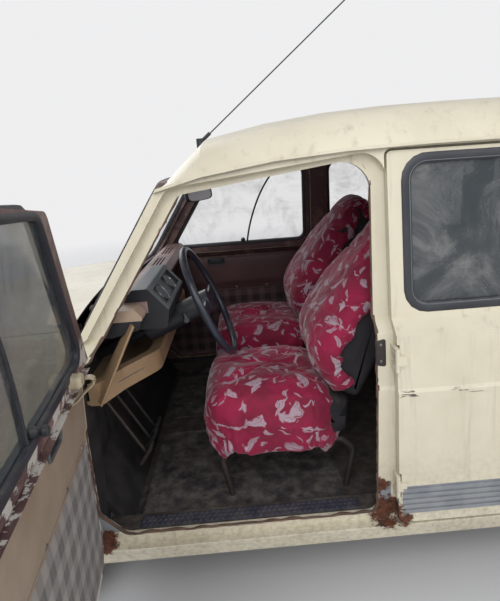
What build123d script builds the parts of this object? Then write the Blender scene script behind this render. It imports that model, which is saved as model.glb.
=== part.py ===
from build123d import *
import os
from math import cos, radians, sin, sqrt, tan

# Small five-door hatchback, in millimetres.
# X points forward, Y to the car's left, Z up. The origin is on the ground, on the
# centre line, under the split between the front and rear doors.

# Running gear
front_axle_x = 1210
rear_axle_x = -1205
front_track = 1280
rear_track = 1244
tyre_radius = 268
tyre_width = 135
rim_radius = 168
rim_width = 118
rear_pivot_x = -935
rear_pivot_z = 245
engine_low = 300
rail_inner = 310
rail_outer = 380
inner_wing_y = 420
lower_arm_z = 213
upper_arm_z = 312
arm_thickness = 18
drum_radius = 96
hub_bore = 20
running_clearance = 0.05
stub_radius = hub_bore - running_clearance
kingpin_y = 600
arch_radius = 318
arch_rise = 10

# Body shell: level z, half width, rear x, rear corner radius
body_levels = [
    (235, 705, -1770, 90),
    (291, 728, -1788, 95),
    (430, 738, -1795, 100),
    (728, 738, -1788, 100),
    (738, 731, -1781, 95),
    (893, 725, -1768, 95),
    (930, 677, -1738, 80),
    (1375, 645, -1606, 70),
    (1460, 639, -1581, 70),
]
taper_start_x = -1150
rear_taper = 24
skin = 26
wall = 50
seat_gap = 0.3
waist_z = 930
sill_top = 322
cabin_front_x = 912

# Roof: evenly spaced stations, with the gutter and the crown falling away at both ends
roof_front_x = 690
roof_lip_x = 520
header_x = 560
header_y = 596
roof_rear_x = -1640
roof_stations_count = 13
roof_peak_x = -300
roof_crown_z = 1548
roof_gutter_z = 1402
roof_half = 655
roof_thickness = 26
crown_drop = 34
shoulder_width = 130
gutter_lip = 14
gutter_height = 8

# Windscreen
screen_x = 885
screen_rake = radians(33.3)
screen_bow = 45
screen_half = 640
screen_frame = 34
screen_low = 948
screen_high = 1335
header_low = screen_high + 12
screen_glass = 6

# Doors
door_gap = 7
trailing_gap = 11
door_split = 8
door_front_x = 905
door_low = 303
door_front_open = 84
hinge_gap = 4
hinge_y = 742
hinge_levels = (436, 830)
hinge_radius = 6
hinge_half = 14
hinge_reach = 34
rear_hinge_x = door_split - trailing_gap + hinge_gap
frame_top_drop = 10
glass_thickness = 4
glass_inset = 12
rear_door_end = -862

# Trim pressed or fixed on the outer skin
clad_low = 338
clad_high = 432
clad_ribs = 5
clad_proud = 4
clad_margin = 8
lip_width = 15
lip_proud = 7
handle_z = 815
handle_back = 100
pan_half = 62
pan_rise = 17
pan_depth = 14
bar_half = 66
bar_rise = 7

# Nose: station x, crown z, seam z, seam half width, wing half width, wing shoulder z
nose_stations = [
    (912, 956, 934, 566, 733, 868),
    (1250, 946, 920, 560, 738, 838),
    (1550, 912, 876, 554, 728, 790),
    (1800, 850, 800, 548, 708, 720),
]
nose_x = 1788
nose_corner = 130
nose_low = 300
apron_top = 494
grille_low = 502
grille_high = 742
bonnet_low = grille_high + seat_gap
lamp_y = 412
lamp_z = 620
lamp_radius = 80
lamp_gap = 25
lamp_dome = 210
bumper_reach = 1822
cowl_z = 880
aerial_x = 535
post_x = 888
post_y = 590
tow_eye_radius = 13
tow_eye_half = 7
bonnet_hinge = (1796, 498)
bonnet_pin = 6
tailgate_hinge = (-1612, 1386)
tailgate_pin = 7
tailgate_spread = 400
bonnet_spread = 300
moving_spans = [(-20, 20)]
fixed_spans = [(-45, -20 - seat_gap), (20 + seat_gap, 45)]
tailgate_inner = -1596
tailgate_grip_z = 840
steer_sweep = 294
housing_top = 560
housing_wall = 12
aerial_length = 760
aerial_lean = radians(39)
grille_slots = 8
slot_share = 0.56
aerial_base = 15
aerial_sunk = 18

# Platform and underbody
floor_z = 262
floor_thickness = 18
floor_front_x = 820
floor_rear_x = -880
floor_half = 690
rear_floor_z = 420
boot_low = rear_floor_z - floor_thickness
boot_split = -1718.7
house_wall = 16
sill_inner_y = 610
rail_low = 212
rail_end = 1000
wing_start = 944.3
rear_rail_low = 330
cross_x = 1640
cross_back = 1679
radiator_half = 500
radiator_opening = 290
mount_xs = (1120, 1520)
pipe_radius = 19
pipe_z = 192
pipe_y = -240
silencer_radius = 52

# Cabin
wheelhouse_y = 545
firewall_x = 930
seat_y = 330
seat_width = 450
wheel_centre = (530, 330, 930)
wheel_rim_radius = 192
column_tilt = radians(22)
grip_radius = 12
dash_half = 600
dash_top_z = 992
pod_y = 335
pod_half = 185
pod_slope = -50.2
dial_radius = 30
shelf_z = 726
shelf_tray = 12
shelf_lip_low = 722
shelf_lip_high = 792
shelf_lip = 34
mirror_z = 1275

extent = 3000


def front_share(x):
    return max(0, (x - roof_peak_x) / 850)


def rear_share(x):
    return max(0, (roof_peak_x - x) / 1340)


def gutter_at(x):
    return roof_gutter_z - 57 * front_share(x) ** 3.3 - 16 * rear_share(x) ** 2


def crown_at(x):
    lip = 20 * max(0, (x - roof_lip_x) / 70) ** 2
    return roof_crown_z - 85 * front_share(x) ** 2.6 - lip - 64 * rear_share(x) ** 2.4


def half_at(x):
    return roof_half - 26 * max(0, (-1100 - x) / 540) ** 2 - 7 * max(0, (x - 300) / 340)


roof_step = (roof_front_x - roof_rear_x) / (roof_stations_count - 1)
roof_x = [roof_front_x - roof_step * i for i in range(roof_stations_count)]
roof_stations = [(x, gutter_at(x), crown_at(x), half_at(x)) for x in roof_x]


def wire_of(points, radius):
    if radius:
        return FilletPolyline(*points, radius=radius, close=True)
    return Polyline(*points, close=True)


def prism_y(points, y0, y1, radius=0, grow=0):
    face = make_face(wire_of([(x, y0, z) for x, z in points], radius))
    if grow:
        face = offset(face, amount=grow)
    return extrude(face, amount=y1 - y0, dir=(0, 1, 0))


def prism_x(points, x0, x1, radius=0):
    face = make_face(wire_of([(x0, y, z) for y, z in points], radius))
    return extrude(face, amount=x1 - x0, dir=(1, 0, 0))


def prism_z(points, z0, z1, radius=0):
    face = make_face(wire_of([(x, y, z0) for x, y in points], radius))
    return extrude(face, amount=z1 - z0, dir=(0, 0, 1))


def block(x0, x1, y0, y1, z0, z1):
    return Pos((x0 + x1) / 2, (y0 + y1) / 2, (z0 + z1) / 2) * Box(x1 - x0, y1 - y0, z1 - z0)


def rod(start, end, radius):
    start = Vector(*start)
    end = Vector(*end)
    run = end - start
    return Plane(start, z_dir=run) * Cylinder(
        radius, run.length, align=(Align.CENTER, Align.CENTER, Align.MIN))


def tube_path(points, radii, radius):
    path = FilletPolyline(*points, radius=radii)
    start = Plane(path @ 0, z_dir=path % 0)
    return sweep(start * Circle(radius), path=path)


def cabin(inset, low=0, high=0):
    """Body envelope from the plan outline at each level, moved inboard by inset."""
    levels = list(body_levels)
    first, last = levels[0], levels[-1]
    levels[0] = (first[0] - low,) + first[1:]
    levels[-1] = (last[0] + high,) + last[1:]
    outlines = []
    for z, half, rear, corner in levels:
        w, r = half - inset, rear + inset
        points = [(1100, -w, z), (1100, w, z), (taper_start_x, w, z), (r, w - rear_taper, z),
                  (r, rear_taper - w, z), (taper_start_x, -w, z)]
        radii = [0, 0, 100, corner - inset, corner - inset, 100]
        outlines.append(make_face(FilletPolyline(*points, radius=radii, close=True)))
    return loft(outlines, ruled=True)


def shell(outer, inner):
    return cabin(outer) - cabin(inner, low=100, high=100)


def ahead_of_screen(depth):
    """Everything in front of the bowed and raked windscreen surface, moved back by depth."""
    low_z = 200
    x0 = screen_x + (waist_z - low_z) * tan(screen_rake) - depth
    reach = 800
    bow_radius = (screen_half ** 2 + screen_bow ** 2) / (2 * screen_bow)
    drop = bow_radius - sqrt(bow_radius ** 2 - reach ** 2)
    tip = x0 + screen_bow
    arc = ThreePointArc((tip - drop, -reach, low_z), (tip, 0, low_z), (tip - drop, reach, low_z))
    back = Polyline((tip - drop, reach, low_z), (extent, reach, low_z), (extent, -reach, low_z),
                    (tip - drop, -reach, low_z))
    return extrude(make_face([arc, back]), amount=1500 / cos(screen_rake),
                   dir=(-sin(screen_rake), 0, cos(screen_rake)))


def under_roof(inset, base=200):
    """Loft of the roof's cross sections, closed at a flat base."""
    sections = []
    for x, gutter, crown, half in roof_stations:
        w, edge = half - inset, gutter + gutter_height - inset
        ys, zs, top = half - shoulder_width, crown - crown_drop - inset, crown - inset
        over = ThreePointArc((x, -ys, zs), (x, 0, top), (x, ys, zs))
        left = TangentArc((x, ys, zs), (x, w, edge), tangent=over % 1)
        right = mirror(left, Plane.XZ)
        rest = Polyline((x, w, edge), (x, w, base), (x, -w, base), (x, -w, edge))
        sections.append(make_face([over, left, rest, right]))
    return loft(sections, ruled=True)


def above_gutter(rise=0):
    sections = []
    for x, gutter, _, _ in roof_stations:
        points = [(x, -900, gutter + rise), (x, 900, gutter + rise), (x, 900, 1800), (x, -900, 1800)]
        sections.append(make_face(Polyline(*points, close=True)))
    return loft(sections, ruled=True)


def gutter_strip():
    sections = []
    for x, gutter, _, half in roof_stations:
        points = [(x, half - 4, gutter), (x, half + gutter_lip, gutter),
                  (x, half + gutter_lip, gutter + gutter_height), (x, half - 4, gutter + gutter_height)]
        sections.append(make_face(Polyline(*points, close=True)))
    return loft(sections, ruled=True)


# Door and window outlines, in X and Z
pillar_slope = tan(screen_rake)
pillar_width = 38
front_corner_z = gutter_at(590) - frame_top_drop
front_door_outline = [
    (door_split, door_low),
    (door_front_x - 80, door_low),
    (door_front_x, door_low + 80),
    (door_front_x, 905),
    (screen_x - pillar_width - 2, waist_z + 3),
    (screen_x - pillar_width - (front_corner_z - waist_z) * pillar_slope, front_corner_z),
    (door_split, gutter_at(0) - frame_top_drop),
]
front_door_radii = [14, 40, 40, 10, 20, 40, 60]
front_aperture = [
    (52, sill_top),
    (815, sill_top),
    (884, 396),
    (884, 862),
    (848, 880),
    (848 - (front_corner_z - 14 - 880) * pillar_slope, front_corner_z - 14),
    (34, gutter_at(0) - 20),
]
front_aperture_radii = [30, 30, 40, 12, 12, 30, 80]
front_window = [
    (68, 958),
    (788, 958),
    (788 - (1328 - 958) * pillar_slope, 1328),
    (62, 1362),
]
front_window_radii = [45, 30, 55, 55]
rear_door_outline = [
    (door_split - trailing_gap, door_low),
    (-760, door_low),
    (rear_door_end, 545),
    (rear_door_end, gutter_at(rear_door_end) - frame_top_drop),
    (door_split - trailing_gap, gutter_at(0) - frame_top_drop),
]
rear_door_radii = [14, 30, 60, 60, 14]
rear_aperture = [
    (-48, sill_top),
    (-720, sill_top),
    (rear_door_end + 34, 560),
    (rear_door_end + 34, gutter_at(rear_door_end) - 24),
    (-48, gutter_at(0) - 22),
]
rear_aperture_radii = [30, 60, 60, 60, 60]
rear_window = [(-56, 958), (-806, 958), (-806, 1363), (-56, 1365)]
rear_window_radii = [50, 55, 60, 55]
quarter_window = [(-930, 958), (-1480, 958), (-1400, 1300), (-930, 1345)]
quarter_window_radii = [45, 50, 50, 50]

tailgate_half = 560
tailgate_low = 505
tailgate_high = 1380
tailgate_glass = [(-505, 985), (505, 985), (480, 1325), (-480, 1325)]


def arch(x, radius, inner):
    across = Rot(90, 0, 0) * Cylinder(radius, 900 - inner)
    return Pos(x, (inner + 900) / 2, tyre_radius + arch_rise) * across


def arch_ring(x):
    """Flange of a wheel arch, as a ring through the body side."""
    return arch(x, arch_radius + lip_width, 400) - arch(x, arch_radius, 390)


def both(solid):
    return solid + mirror(solid, Plane.XZ)


wall_shell = shell(0, wall)
skin_shell = shell(0, skin)
trim_shell = shell(skin, wall - 4)
gutter_cut = above_gutter()
screen_front = ahead_of_screen(0)
inner_cabin = cabin(wall + seat_gap, low=100, high=100)


def hinge_pin(x, low, high, radius=hinge_radius):
    return Pos(x, hinge_y, (low + high) / 2) * Cylinder(radius, high - low)


def door_lugs(x):
    """Middle knuckles of a door's two hinges."""
    lugs = Part()
    for z in hinge_levels:
        low, high = z - hinge_half, z + hinge_half
        lugs += block(x - 24, x, hinge_y - 26, hinge_y + hinge_radius, low, high)
        lugs += hinge_pin(x, low, high)
    return lugs


def fixed_lugs(x, x0, x1, inner_y):
    """Outer knuckles of a door's two hinges, on a plate from x0 to x1."""
    lugs = Part()
    for z in hinge_levels:
        near, far = hinge_half + seat_gap, hinge_reach
        for low, high in ((z + near, z + far), (z - far, z - near)):
            lugs += block(x0, x1, inner_y, hinge_y, low, high) + hinge_pin(x, low, high)
    return lugs


def hinge_notch(x0, x1, low, high):
    notch = Part()
    for z in hinge_levels:
        for side in (-1, 1):
            z0, z1 = sorted((z + side * low, z + side * high))
            notch += block(x0, x1, 600, 800, z0, z1)
    return notch


def cladding():
    """Ribbed rubbing strip along the foot of the doors and the rear quarter."""
    pitch = (clad_high - clad_low) / clad_ribs
    ribs = Part()
    for i in range(clad_ribs):
        low = clad_low + pitch * i
        ribs += block(-1690, 900, 600, 900, low, low + pitch * 0.62)
    return shell(-clad_proud, 2) & ribs


strip = cladding()


def lid_hinges(pin, radius, back_x, low_z, high_z, spread, spans):
    """One leaf of a lid's two hinges: barrels round the pin, on blocks that reach the panel."""
    leaf = Part()
    x0, x1 = sorted((pin[0], back_x))
    for y in (-spread, spread):
        for low, high in spans:
            leaf += block(x0, x1, y + low, y + high, low_z, high_z)
            barrel = Rot(90, 0, 0) * Cylinder(radius, high - low)
            leaf += Pos(pin[0], y + (low + high) / 2, pin[1]) * barrel
    return leaf


def body_side():
    side = wall_shell & block(-1900, cabin_front_x - seat_gap, 0, 900, 200, 1600)
    side -= gutter_cut
    side -= screen_front
    rebate = shell(-5, skin + 5)
    front_cut = prism_y(front_door_outline, 300, 900, front_door_radii, door_gap)
    rear_cut = prism_y(rear_door_outline, 300, 900, rear_door_radii, door_gap)
    rear_cut += block(rear_door_end - trailing_gap, rear_door_end, 300, 900, 600, 1340)
    side -= rebate & (front_cut + rear_cut)
    side -= prism_y(front_aperture, 300, 900, front_aperture_radii)
    side -= prism_y(rear_aperture, 300, 900, rear_aperture_radii)
    side -= prism_y(quarter_window, 300, 900, quarter_window_radii)
    side -= arch(rear_axle_x, arch_radius, 400)
    side -= block(-2000, -1550, -10, tailgate_half + door_gap, tailgate_low - door_gap, 1500)
    side -= block(-2000, -1550, -10, tailgate_half + door_gap, 200, tailgate_low)
    side += shell(-lip_proud, 2) & arch_ring(rear_axle_x)
    side += strip & block(-1690, rear_axle_x - arch_radius - lip_width, 600, 900, 300, 450)
    return side + fixed_lugs(rear_hinge_x, rear_hinge_x - hinge_radius, rear_hinge_x + hinge_radius, 684)


def bevelled(x, z, half, rise):
    """Outline of a long rounded form on a door, in X and Z."""
    return [(x - half, z - rise), (x + half, z - rise), (x + half, z + rise), (x - half, z + rise)]


def door(outline, radii, aperture, aperture_radii, window, window_radii, handle_x):
    panel = skin_shell & prism_y(outline, 300, 900, radii)
    pan = prism_y(bevelled(handle_x, handle_z, pan_half, pan_rise), 300, 900, pan_rise - 1)
    panel -= shell(-1, pan_depth) & pan
    bar = prism_y(bevelled(handle_x, handle_z, bar_half, bar_rise), 300, 900, bar_rise - 1)
    panel += shell(-3, pan_depth / 2) & bar
    panel += strip & prism_y(outline, 300, 900, radii, -clad_margin)
    inner = trim_shell & prism_y(aperture, 300, 900, aperture_radii, -18)
    inner &= block(-2000, 2000, 300, 900, 200, 925)
    panel += inner
    cut = prism_y(window, 300, 900, window_radii)
    pane = shell(glass_inset, glass_inset + glass_thickness) & cut
    return panel - cut, pane


hinge_clear = hinge_radius + 5
front_hinge_x = door_front_x + hinge_gap
left_side = body_side()
front_panel, front_pane = door(front_door_outline, front_door_radii, front_aperture,
                               front_aperture_radii, front_window, front_window_radii,
                               door_split + handle_back)
rear_panel, rear_pane = door(rear_door_outline, rear_door_radii, rear_aperture,
                             rear_aperture_radii, rear_window, rear_window_radii,
                             rear_door_end + handle_back)
front_panel -= hinge_notch(front_hinge_x - hinge_clear, 1000, hinge_half, hinge_reach + 5)
front_panel -= hinge_notch(0, rear_hinge_x + hinge_clear + 1, 0, hinge_reach + 5)
front_panel += door_lugs(front_hinge_x)
rear_panel -= hinge_notch(rear_hinge_x - hinge_clear, 100, hinge_half, hinge_reach + 5)
rear_panel += door_lugs(rear_hinge_x)


def tailgate():
    zone = block(-2000, -1500, -tailgate_half, tailgate_half, tailgate_low, tailgate_high)
    panel = shell(0, skin) & zone
    cut = prism_x(tailgate_glass, -2000, -1500, 45)
    pane = shell(glass_inset, glass_inset + glass_thickness) & zone & cut
    pin_z = tailgate_hinge[1]
    leaf = lid_hinges(tailgate_hinge, tailgate_pin, tailgate_inner, pin_z - 21, pin_z,
                      tailgate_spread, moving_spans)
    pull = prism_x(bevelled(0, tailgate_grip_z, pan_half, pan_rise), -2000, -1500, pan_rise - 1)
    bar = prism_x(bevelled(0, tailgate_grip_z, bar_half, bar_rise), -2000, -1500, bar_rise - 1)
    panel -= shell(-1, pan_depth) & pull
    panel += shell(-3, pan_depth / 2) & bar
    return panel - cut + leaf, pane


def roof():
    skin_part = under_roof(0) - under_roof(roof_thickness, base=100)
    skin_part &= above_gutter(seat_gap)
    header_half = tailgate_half + door_gap - seat_gap
    header_low_z = tailgate_high + door_gap
    header = skin_shell & block(-2000, -1400, -header_half, header_half, header_low_z, 1450)
    skin_part += header & under_roof(roof_thickness / 2)
    pin_z = tailgate_hinge[1]
    skin_part += lid_hinges(tailgate_hinge, tailgate_pin, tailgate_inner, pin_z, pin_z + 14,
                            tailgate_spread, fixed_spans)
    skin_part += both(gutter_strip())
    skin_part &= cabin(-gutter_lip - 4, high=300)
    skin_part -= block(header_x, 900, -header_y, header_y, 1000, header_low)
    return skin_part - screen_front


def nose(inset, low=0):
    """Nose envelope: lofted sections trimmed to the side and plan outlines."""
    sections = []
    for x, crown, seam, seam_half, wing_half, shoulder in nose_stations:
        top, edge, side, turn = crown - inset, seam - inset, wing_half - inset, shoulder - inset
        over = ThreePointArc((x, -seam_half, edge), (x, 0, top), (x, seam_half, edge))
        left = TangentArc((x, seam_half, edge), (x, side, turn), tangent=over % 1)
        right = mirror(left, Plane.XZ)
        rest = Polyline((x, side, turn), (x, side, nose_low - low), (x, -side, nose_low - low),
                        (x, -side, turn))
        sections.append(make_face([over, left, rest, right]))
    front = nose_x - inset
    face = [(800, 0), (front - 4, 0), (front, 560), (front - 8, 745), (front - 62, 846 - inset),
            (front - 150, 905 - inset), (800, 1300)]
    body = loft(sections) & prism_y(face, -900, 900, [0, 0, 0, 40, 60, 200, 0])
    corners = [(700, inset - 760), (front, inset - 712), (front, 712 - inset), (700, 760 - inset)]
    return body & prism_z(corners, 0, 1500, [0, nose_corner - inset, nose_corner - inset, 0])


nose_shell = nose(0) - nose(skin - seat_gap, 50)


def seam_zone(grow, low, high):
    """Plan of the bonnet and grille between the wings, as a prism."""
    rear, front = nose_stations[0][3] + grow, nose_stations[-1][3] + grow
    points = [(800, -rear), (1900, -front), (1900, front), (800, rear)]
    return prism_z(points, low, high)


def front_wings():
    wings = nose_shell - seam_zone(door_gap / 2, apron_top, 1200)
    wings -= both(arch(front_axle_x, arch_radius, 400))
    flange = (nose(-lip_proud) - nose(2, 50)) & arch_ring(front_axle_x)
    wings += both(flange & block(front_hinge_x + 31, 1600, 0, 900, 0, 900))
    wings += both(fixed_lugs(front_hinge_x, front_hinge_x, front_hinge_x + 34, hinge_y - 18))
    z = bonnet_hinge[1]
    return wings + lid_hinges(bonnet_hinge, bonnet_pin, nose_x - 8, z - 14, z,
                              bonnet_spread, fixed_spans)


def bonnet():
    panel = nose_shell & seam_zone(-door_gap / 2, bonnet_low, 1200)
    return panel & ahead_of_screen(-40)


def grille():
    zone = seam_zone(-door_gap / 2, grille_low, grille_high)
    face = nose_shell & zone & block(nose_x - 60, nose_x + 40, -900, 900, 0, 1500)
    for side in (-1, 1):
        face -= Pos(nose_x, side * lamp_y, lamp_z) * Rot(0, 90, 0) * Cylinder(lamp_radius + lamp_gap, 200)
    pitch = (grille_high - grille_low - 36) / grille_slots
    for i in range(grille_slots):
        z = grille_low + 18 + pitch * (i + 0.5)
        face -= Pos(nose_x, 0, z) * Box(200, 2 * (lamp_y - lamp_radius - 40), pitch * slot_share)
    z = bonnet_hinge[1]
    return face + lid_hinges(bonnet_hinge, bonnet_pin, nose_x - 8, z, z + 14,
                             bonnet_spread, moving_spans)


def headlamps():
    lamps = []
    for side in (-1, 1):
        bowl = Pos(0, 0, 20) * Cone(60, lamp_radius, 40) + Pos(0, 0, 81) * Cylinder(lamp_radius, 82)
        bowl &= Pos(0, 0, 122 - lamp_dome) * Sphere(lamp_dome)
        lamps.append(Pos(nose_x - 108, side * lamp_y, lamp_z) * Rot(0, 90, 0) * bowl)
    return lamps


def bumper(sign):
    """Pressed bar that follows the plan of the nose or tail, on two brackets."""
    reach = bumper_reach
    half = 722 if sign > 0 else 706
    outer = prism_z([(sign * (reach - 330), -half), (sign * reach, -half), (sign * reach, half),
                     (sign * (reach - 330), half)], 385, 462, [0, 120, 120, 0])
    inner_points = [(sign * (reach - 400), 18 - half), (sign * (reach - 16), 18 - half),
                    (sign * (reach - 16), half - 18), (sign * (reach - 400), half - 18)]
    bar = outer - prism_z(inner_points, 300, 500, [0, 104, 104, 0])
    for side in (-1, 1):
        x0, x1 = sorted((sign * (nose_x - 30), sign * (reach - 10)))
        bar += block(x0, x1, side * 330 - 20, side * 330 + 20, 400, 446)
        x0, x1 = sorted((sign * (reach - 8), sign * (reach + 12)))
        bar += block(x0, x1, side * 300 - 22, side * 300 + 22, 372, 478)
    return bar - (nose(-seat_gap, 50) if sign > 0 else cabin(-seat_gap, low=100))


def bulkhead():
    low, high = cowl_z, 1500
    band = ahead_of_screen(screen_frame) - ahead_of_screen(0)
    frame = band & inner_cabin & block(0, 1200, -700, 700, low, high)
    over = block(0, roof_front_x, -700, 700, 1100, 1700) - under_roof(roof_thickness + seat_gap, base=1000)
    over -= block(header_x, 900, -header_y, header_y, 1000, header_low - seat_gap)
    frame -= over
    opening = [(-592, screen_low), (592, screen_low), (566, screen_high), (-566, screen_high)]
    cut = prism_x(opening, 300, 1200, 60)
    frame -= cut
    wallplate = block(firewall_x, firewall_x + 14, -664, 664, 452, low + 8) & inner_cabin
    cowl = block(860, firewall_x + 14, -664, 664, low, low + 13) & inner_cabin
    toe_x = floor_front_x + seat_gap
    toe = prism_y([(toe_x, floor_z), (toe_x, floor_z + floor_thickness), (firewall_x, 450), (firewall_x, 468),
                   (firewall_x + 14, 468), (firewall_x + 14, 446), (toe_x + 12, floor_z)], -609.7, 609.7)
    toe &= inner_cabin
    plate = frame + wallplate + cowl + toe
    for side in (-1, 1):
        y0, y1 = sorted((side * post_y, side * 700))
        plate += block(post_x, 944, y0, y1, sill_top + seat_gap, low + 8) & inner_cabin
    plate -= nose(-seat_gap) - nose(skin, 50)
    for side in (-1, 1):
        kingpin = Pos(front_axle_x, side * kingpin_y, (floor_z + housing_top) / 2)
        height = housing_top - floor_z
        sweep = kingpin * Cylinder(steer_sweep, height)
        around = kingpin * Pos(0, 0, housing_wall / 2)
        around *= Cylinder(steer_sweep + housing_wall, height + housing_wall)
        around &= block(800, firewall_x + 14, -floor_half, floor_half, floor_z, 700) & inner_cabin
        plate = plate + around - sweep
    glass = ahead_of_screen(14 + screen_glass) - ahead_of_screen(14)
    return plate, glass & cut


left_cut = prism_y(quarter_window, 300, 900, quarter_window_radii)
quarter_pane = shell(glass_inset, glass_inset + glass_thickness) & left_cut
firewall, screen_pane = bulkhead()


def paired(x0, x1, inner, outer, low, high):
    """Two like blocks, left and right, from the inner to the outer Y value."""
    return both(block(x0, x1, inner, outer, low, high))


def tow_eye(x0, x1, low, high, x, hole_z):
    plate = block(x0, x1, -tow_eye_half, tow_eye_half, low, high)
    return plate - Pos(x, 0, hole_z) * Rot(90, 0, 0) * Cylinder(tow_eye_radius, 60)


def rear_houses(extra):
    """Outer form of both rear wheelhouses, grown by extra."""
    centre = Pos(rear_axle_x, 0, tyre_radius + arch_rise) * Rot(90, 0, 0)
    form = centre * Cylinder(arch_radius + house_wall + extra, 2 * floor_half)
    middle = wheelhouse_y - 12 - extra
    form -= block(-1700, -700, -middle, middle, 0, 900)
    return form & block(-1700, -700, -floor_half, floor_half, boot_low - extra, 900)


def trimmed(shape):
    """Underbody shape cut to the cabin's inside, the rear wheel arches and the axle's pivot."""
    pivot = rod((rear_pivot_x, -600, rear_pivot_z), (rear_pivot_x, 600, rear_pivot_z), 34 + seat_gap)
    return (shape & inner_cabin) - both(arch(rear_axle_x, arch_radius, wheelhouse_y)) - pivot


def platform():
    """Floor with its rails, and a separate sill along each side."""
    half = sill_inner_y - seat_gap
    floor = block(floor_rear_x, floor_front_x, -half, half, floor_z, floor_z + floor_thickness)
    floor += paired(floor_rear_x, rail_end, rail_inner, rail_outer, rail_low, floor_z)
    sills = paired(-840, 880, sill_inner_y, floor_half, floor_z, sill_top)
    return list(trimmed(floor).solids()) + list(trimmed(sills).solids())


def boot_floor():
    """Boot floor on its rails, a wheelhouse at each side, and the rear apron with its towing eye."""
    step_x = floor_rear_x - seat_gap
    floor = block(boot_split + seat_gap, step_x, -floor_half, floor_half, boot_low, rear_floor_z)
    floor += block(step_x - floor_thickness, step_x, -floor_half, floor_half, floor_z, rear_floor_z)
    floor += paired(boot_split + seat_gap, step_x, rail_inner, rail_outer, rear_rail_low, rear_floor_z - 10)
    kick_up = [(step_x, 232), (step_x, rear_rail_low + 1), (-980, rear_rail_low + 1), (-980, rear_rail_low)]
    floor += both(prism_y(kick_up, rail_inner, rail_outer))
    floor -= rear_houses(seat_gap)
    apron_half = tailgate_half - seat_gap
    apron = skin_shell & block(-2000, -1500, -apron_half, apron_half, 300, tailgate_low - door_gap)
    apron += cabin(4) & block(-2000, boot_split, -540, 540, boot_low, rear_floor_z)
    apron += tow_eye(-1771, -1719, 179, 410, -1745, 205)
    return list(trimmed(floor).solids()) + list(trimmed(rear_houses(0)).solids()) + [apron]


def front_frame():
    """Front rails with the inner wings, crossmember, radiator panel, engine mounts and towing eye."""
    inner_wing = inner_wing_y + 12
    rail_start = rail_end + seat_gap
    frame = both(nose(skin + 8, 50) & block(wing_start, cross_back, inner_wing_y, inner_wing, floor_z, 1200))
    frame += paired(rail_start, cross_back, rail_outer - 5, inner_wing, floor_z, rear_rail_low)
    frame += paired(rail_start, cross_back, rail_inner, rail_outer, rail_low, floor_z)
    frame += block(cross_x, cross_back, -inner_wing_y, inner_wing_y, rail_low, 480)
    frame += block(1660, nose_x - 108 - seat_gap, -radiator_half, radiator_half, 460, grille_high)
    frame -= block(1600, 1800, -radiator_opening, radiator_opening, 500, 715)
    for x in mount_xs:
        frame += paired(x, x + 50, 150, 330, floor_z, engine_low - seat_gap)
    return frame + tow_eye(1660, 1748, 196, 250, 1722, 220)


def tyre():
    """Section of one half, from the bead over the wall and shoulder to the tread, turned about Y."""
    half = tyre_width / 2
    bead = (rim_radius, rim_width / 2)
    heel = (rim_radius + 30, half - 4)
    shoulder = (tyre_radius - 16, half - 10)
    tread = (tyre_radius, half - 30)
    edge = Polyline((rim_radius, 0), bead, heel)
    edge += ThreePointArc(heel, (rim_radius + 62, half), shoulder)
    edge += ThreePointArc(shoulder, (tyre_radius - 4, half - 17), tread)
    edge += Polyline(tread, (tyre_radius, 0), (rim_radius, 0))
    outer = revolve(make_face(edge), axis=Axis.Y)
    return outer + mirror(outer, Plane.XZ)


def rim():
    """Pressed wheel: outer half at +Y, with a raised hub face and round vents."""
    half = rim_width / 2
    points = [
        (rim_radius, -half), (rim_radius, half), (rim_radius - 8, half), (rim_radius - 14, half - 12),
        (rim_radius - 24, half - 22), (rim_radius - 26, 8), (112, 14), (96, 30), (60, 34), (hub_bore, 34),
        (hub_bore, 20), (56, 22), (92, 18), (108, 2), (rim_radius - 28, -6), (rim_radius - 22, -half + 22),
        (rim_radius - 12, -half + 10), (rim_radius - 8, -half),
    ]
    disc = revolve(make_face(Polyline(*points, close=True)), axis=Axis.Y)
    for k in range(8):
        angle = radians(45 * k)
        disc -= Pos(127 * cos(angle), 0, 127 * sin(angle)) * Rot(90, 0, 0) * Cylinder(10, 60)
    cap = Pos(0, 40, 0) * Rot(90, 0, 0) * Cone(36, 46, 12)
    return disc + cap


def wheel_at(shape, x, track, side):
    placed = shape if side > 0 else mirror(shape, Plane.XZ)
    return Pos(x, side * track / 2, tyre_radius) * placed


def along_axle(x, near, far, radius):
    """Round bar on the wheel's axis, between two Y values."""
    return rod((x, near, tyre_radius), (x, far, tyre_radius), radius)


def knuckle():
    """Upright with its stub axle, brake drum and steering arm, on the left."""
    x, y, wheel_y = front_axle_x, kingpin_y, front_track / 2
    low, high = lower_arm_z + arm_thickness + seat_gap, upper_arm_z - seat_gap
    post = rod((x, y, low), (x, y, high), 16)
    post += along_axle(x, y, wheel_y + 30, stub_radius)
    post += along_axle(x, y + 21, wheel_y, drum_radius)
    return post + block(x - 110, x, y - 12, y + 4, tyre_radius - 16, tyre_radius + 2)


def front_suspension():
    arms = []
    for side in (-1, 1):
        for z, pivot, spread in ((lower_arm_z, rail_outer, 110), (upper_arm_z, inner_wing_y + 12, 80)):
            foot = side * (pivot + seat_gap)
            ball = side * kingpin_y
            points = [(front_axle_x - spread, foot), (front_axle_x - spread + 34, foot),
                      (front_axle_x, side * (kingpin_y - 70)), (front_axle_x + spread - 34, foot),
                      (front_axle_x + spread, foot), (front_axle_x + 16, ball), (front_axle_x - 16, ball)]
            arm = prism_z(points, z, z + arm_thickness)
            arm += rod((front_axle_x, ball, z), (front_axle_x, ball, z + arm_thickness), 17)
            arms.append(arm)
    return arms


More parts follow.
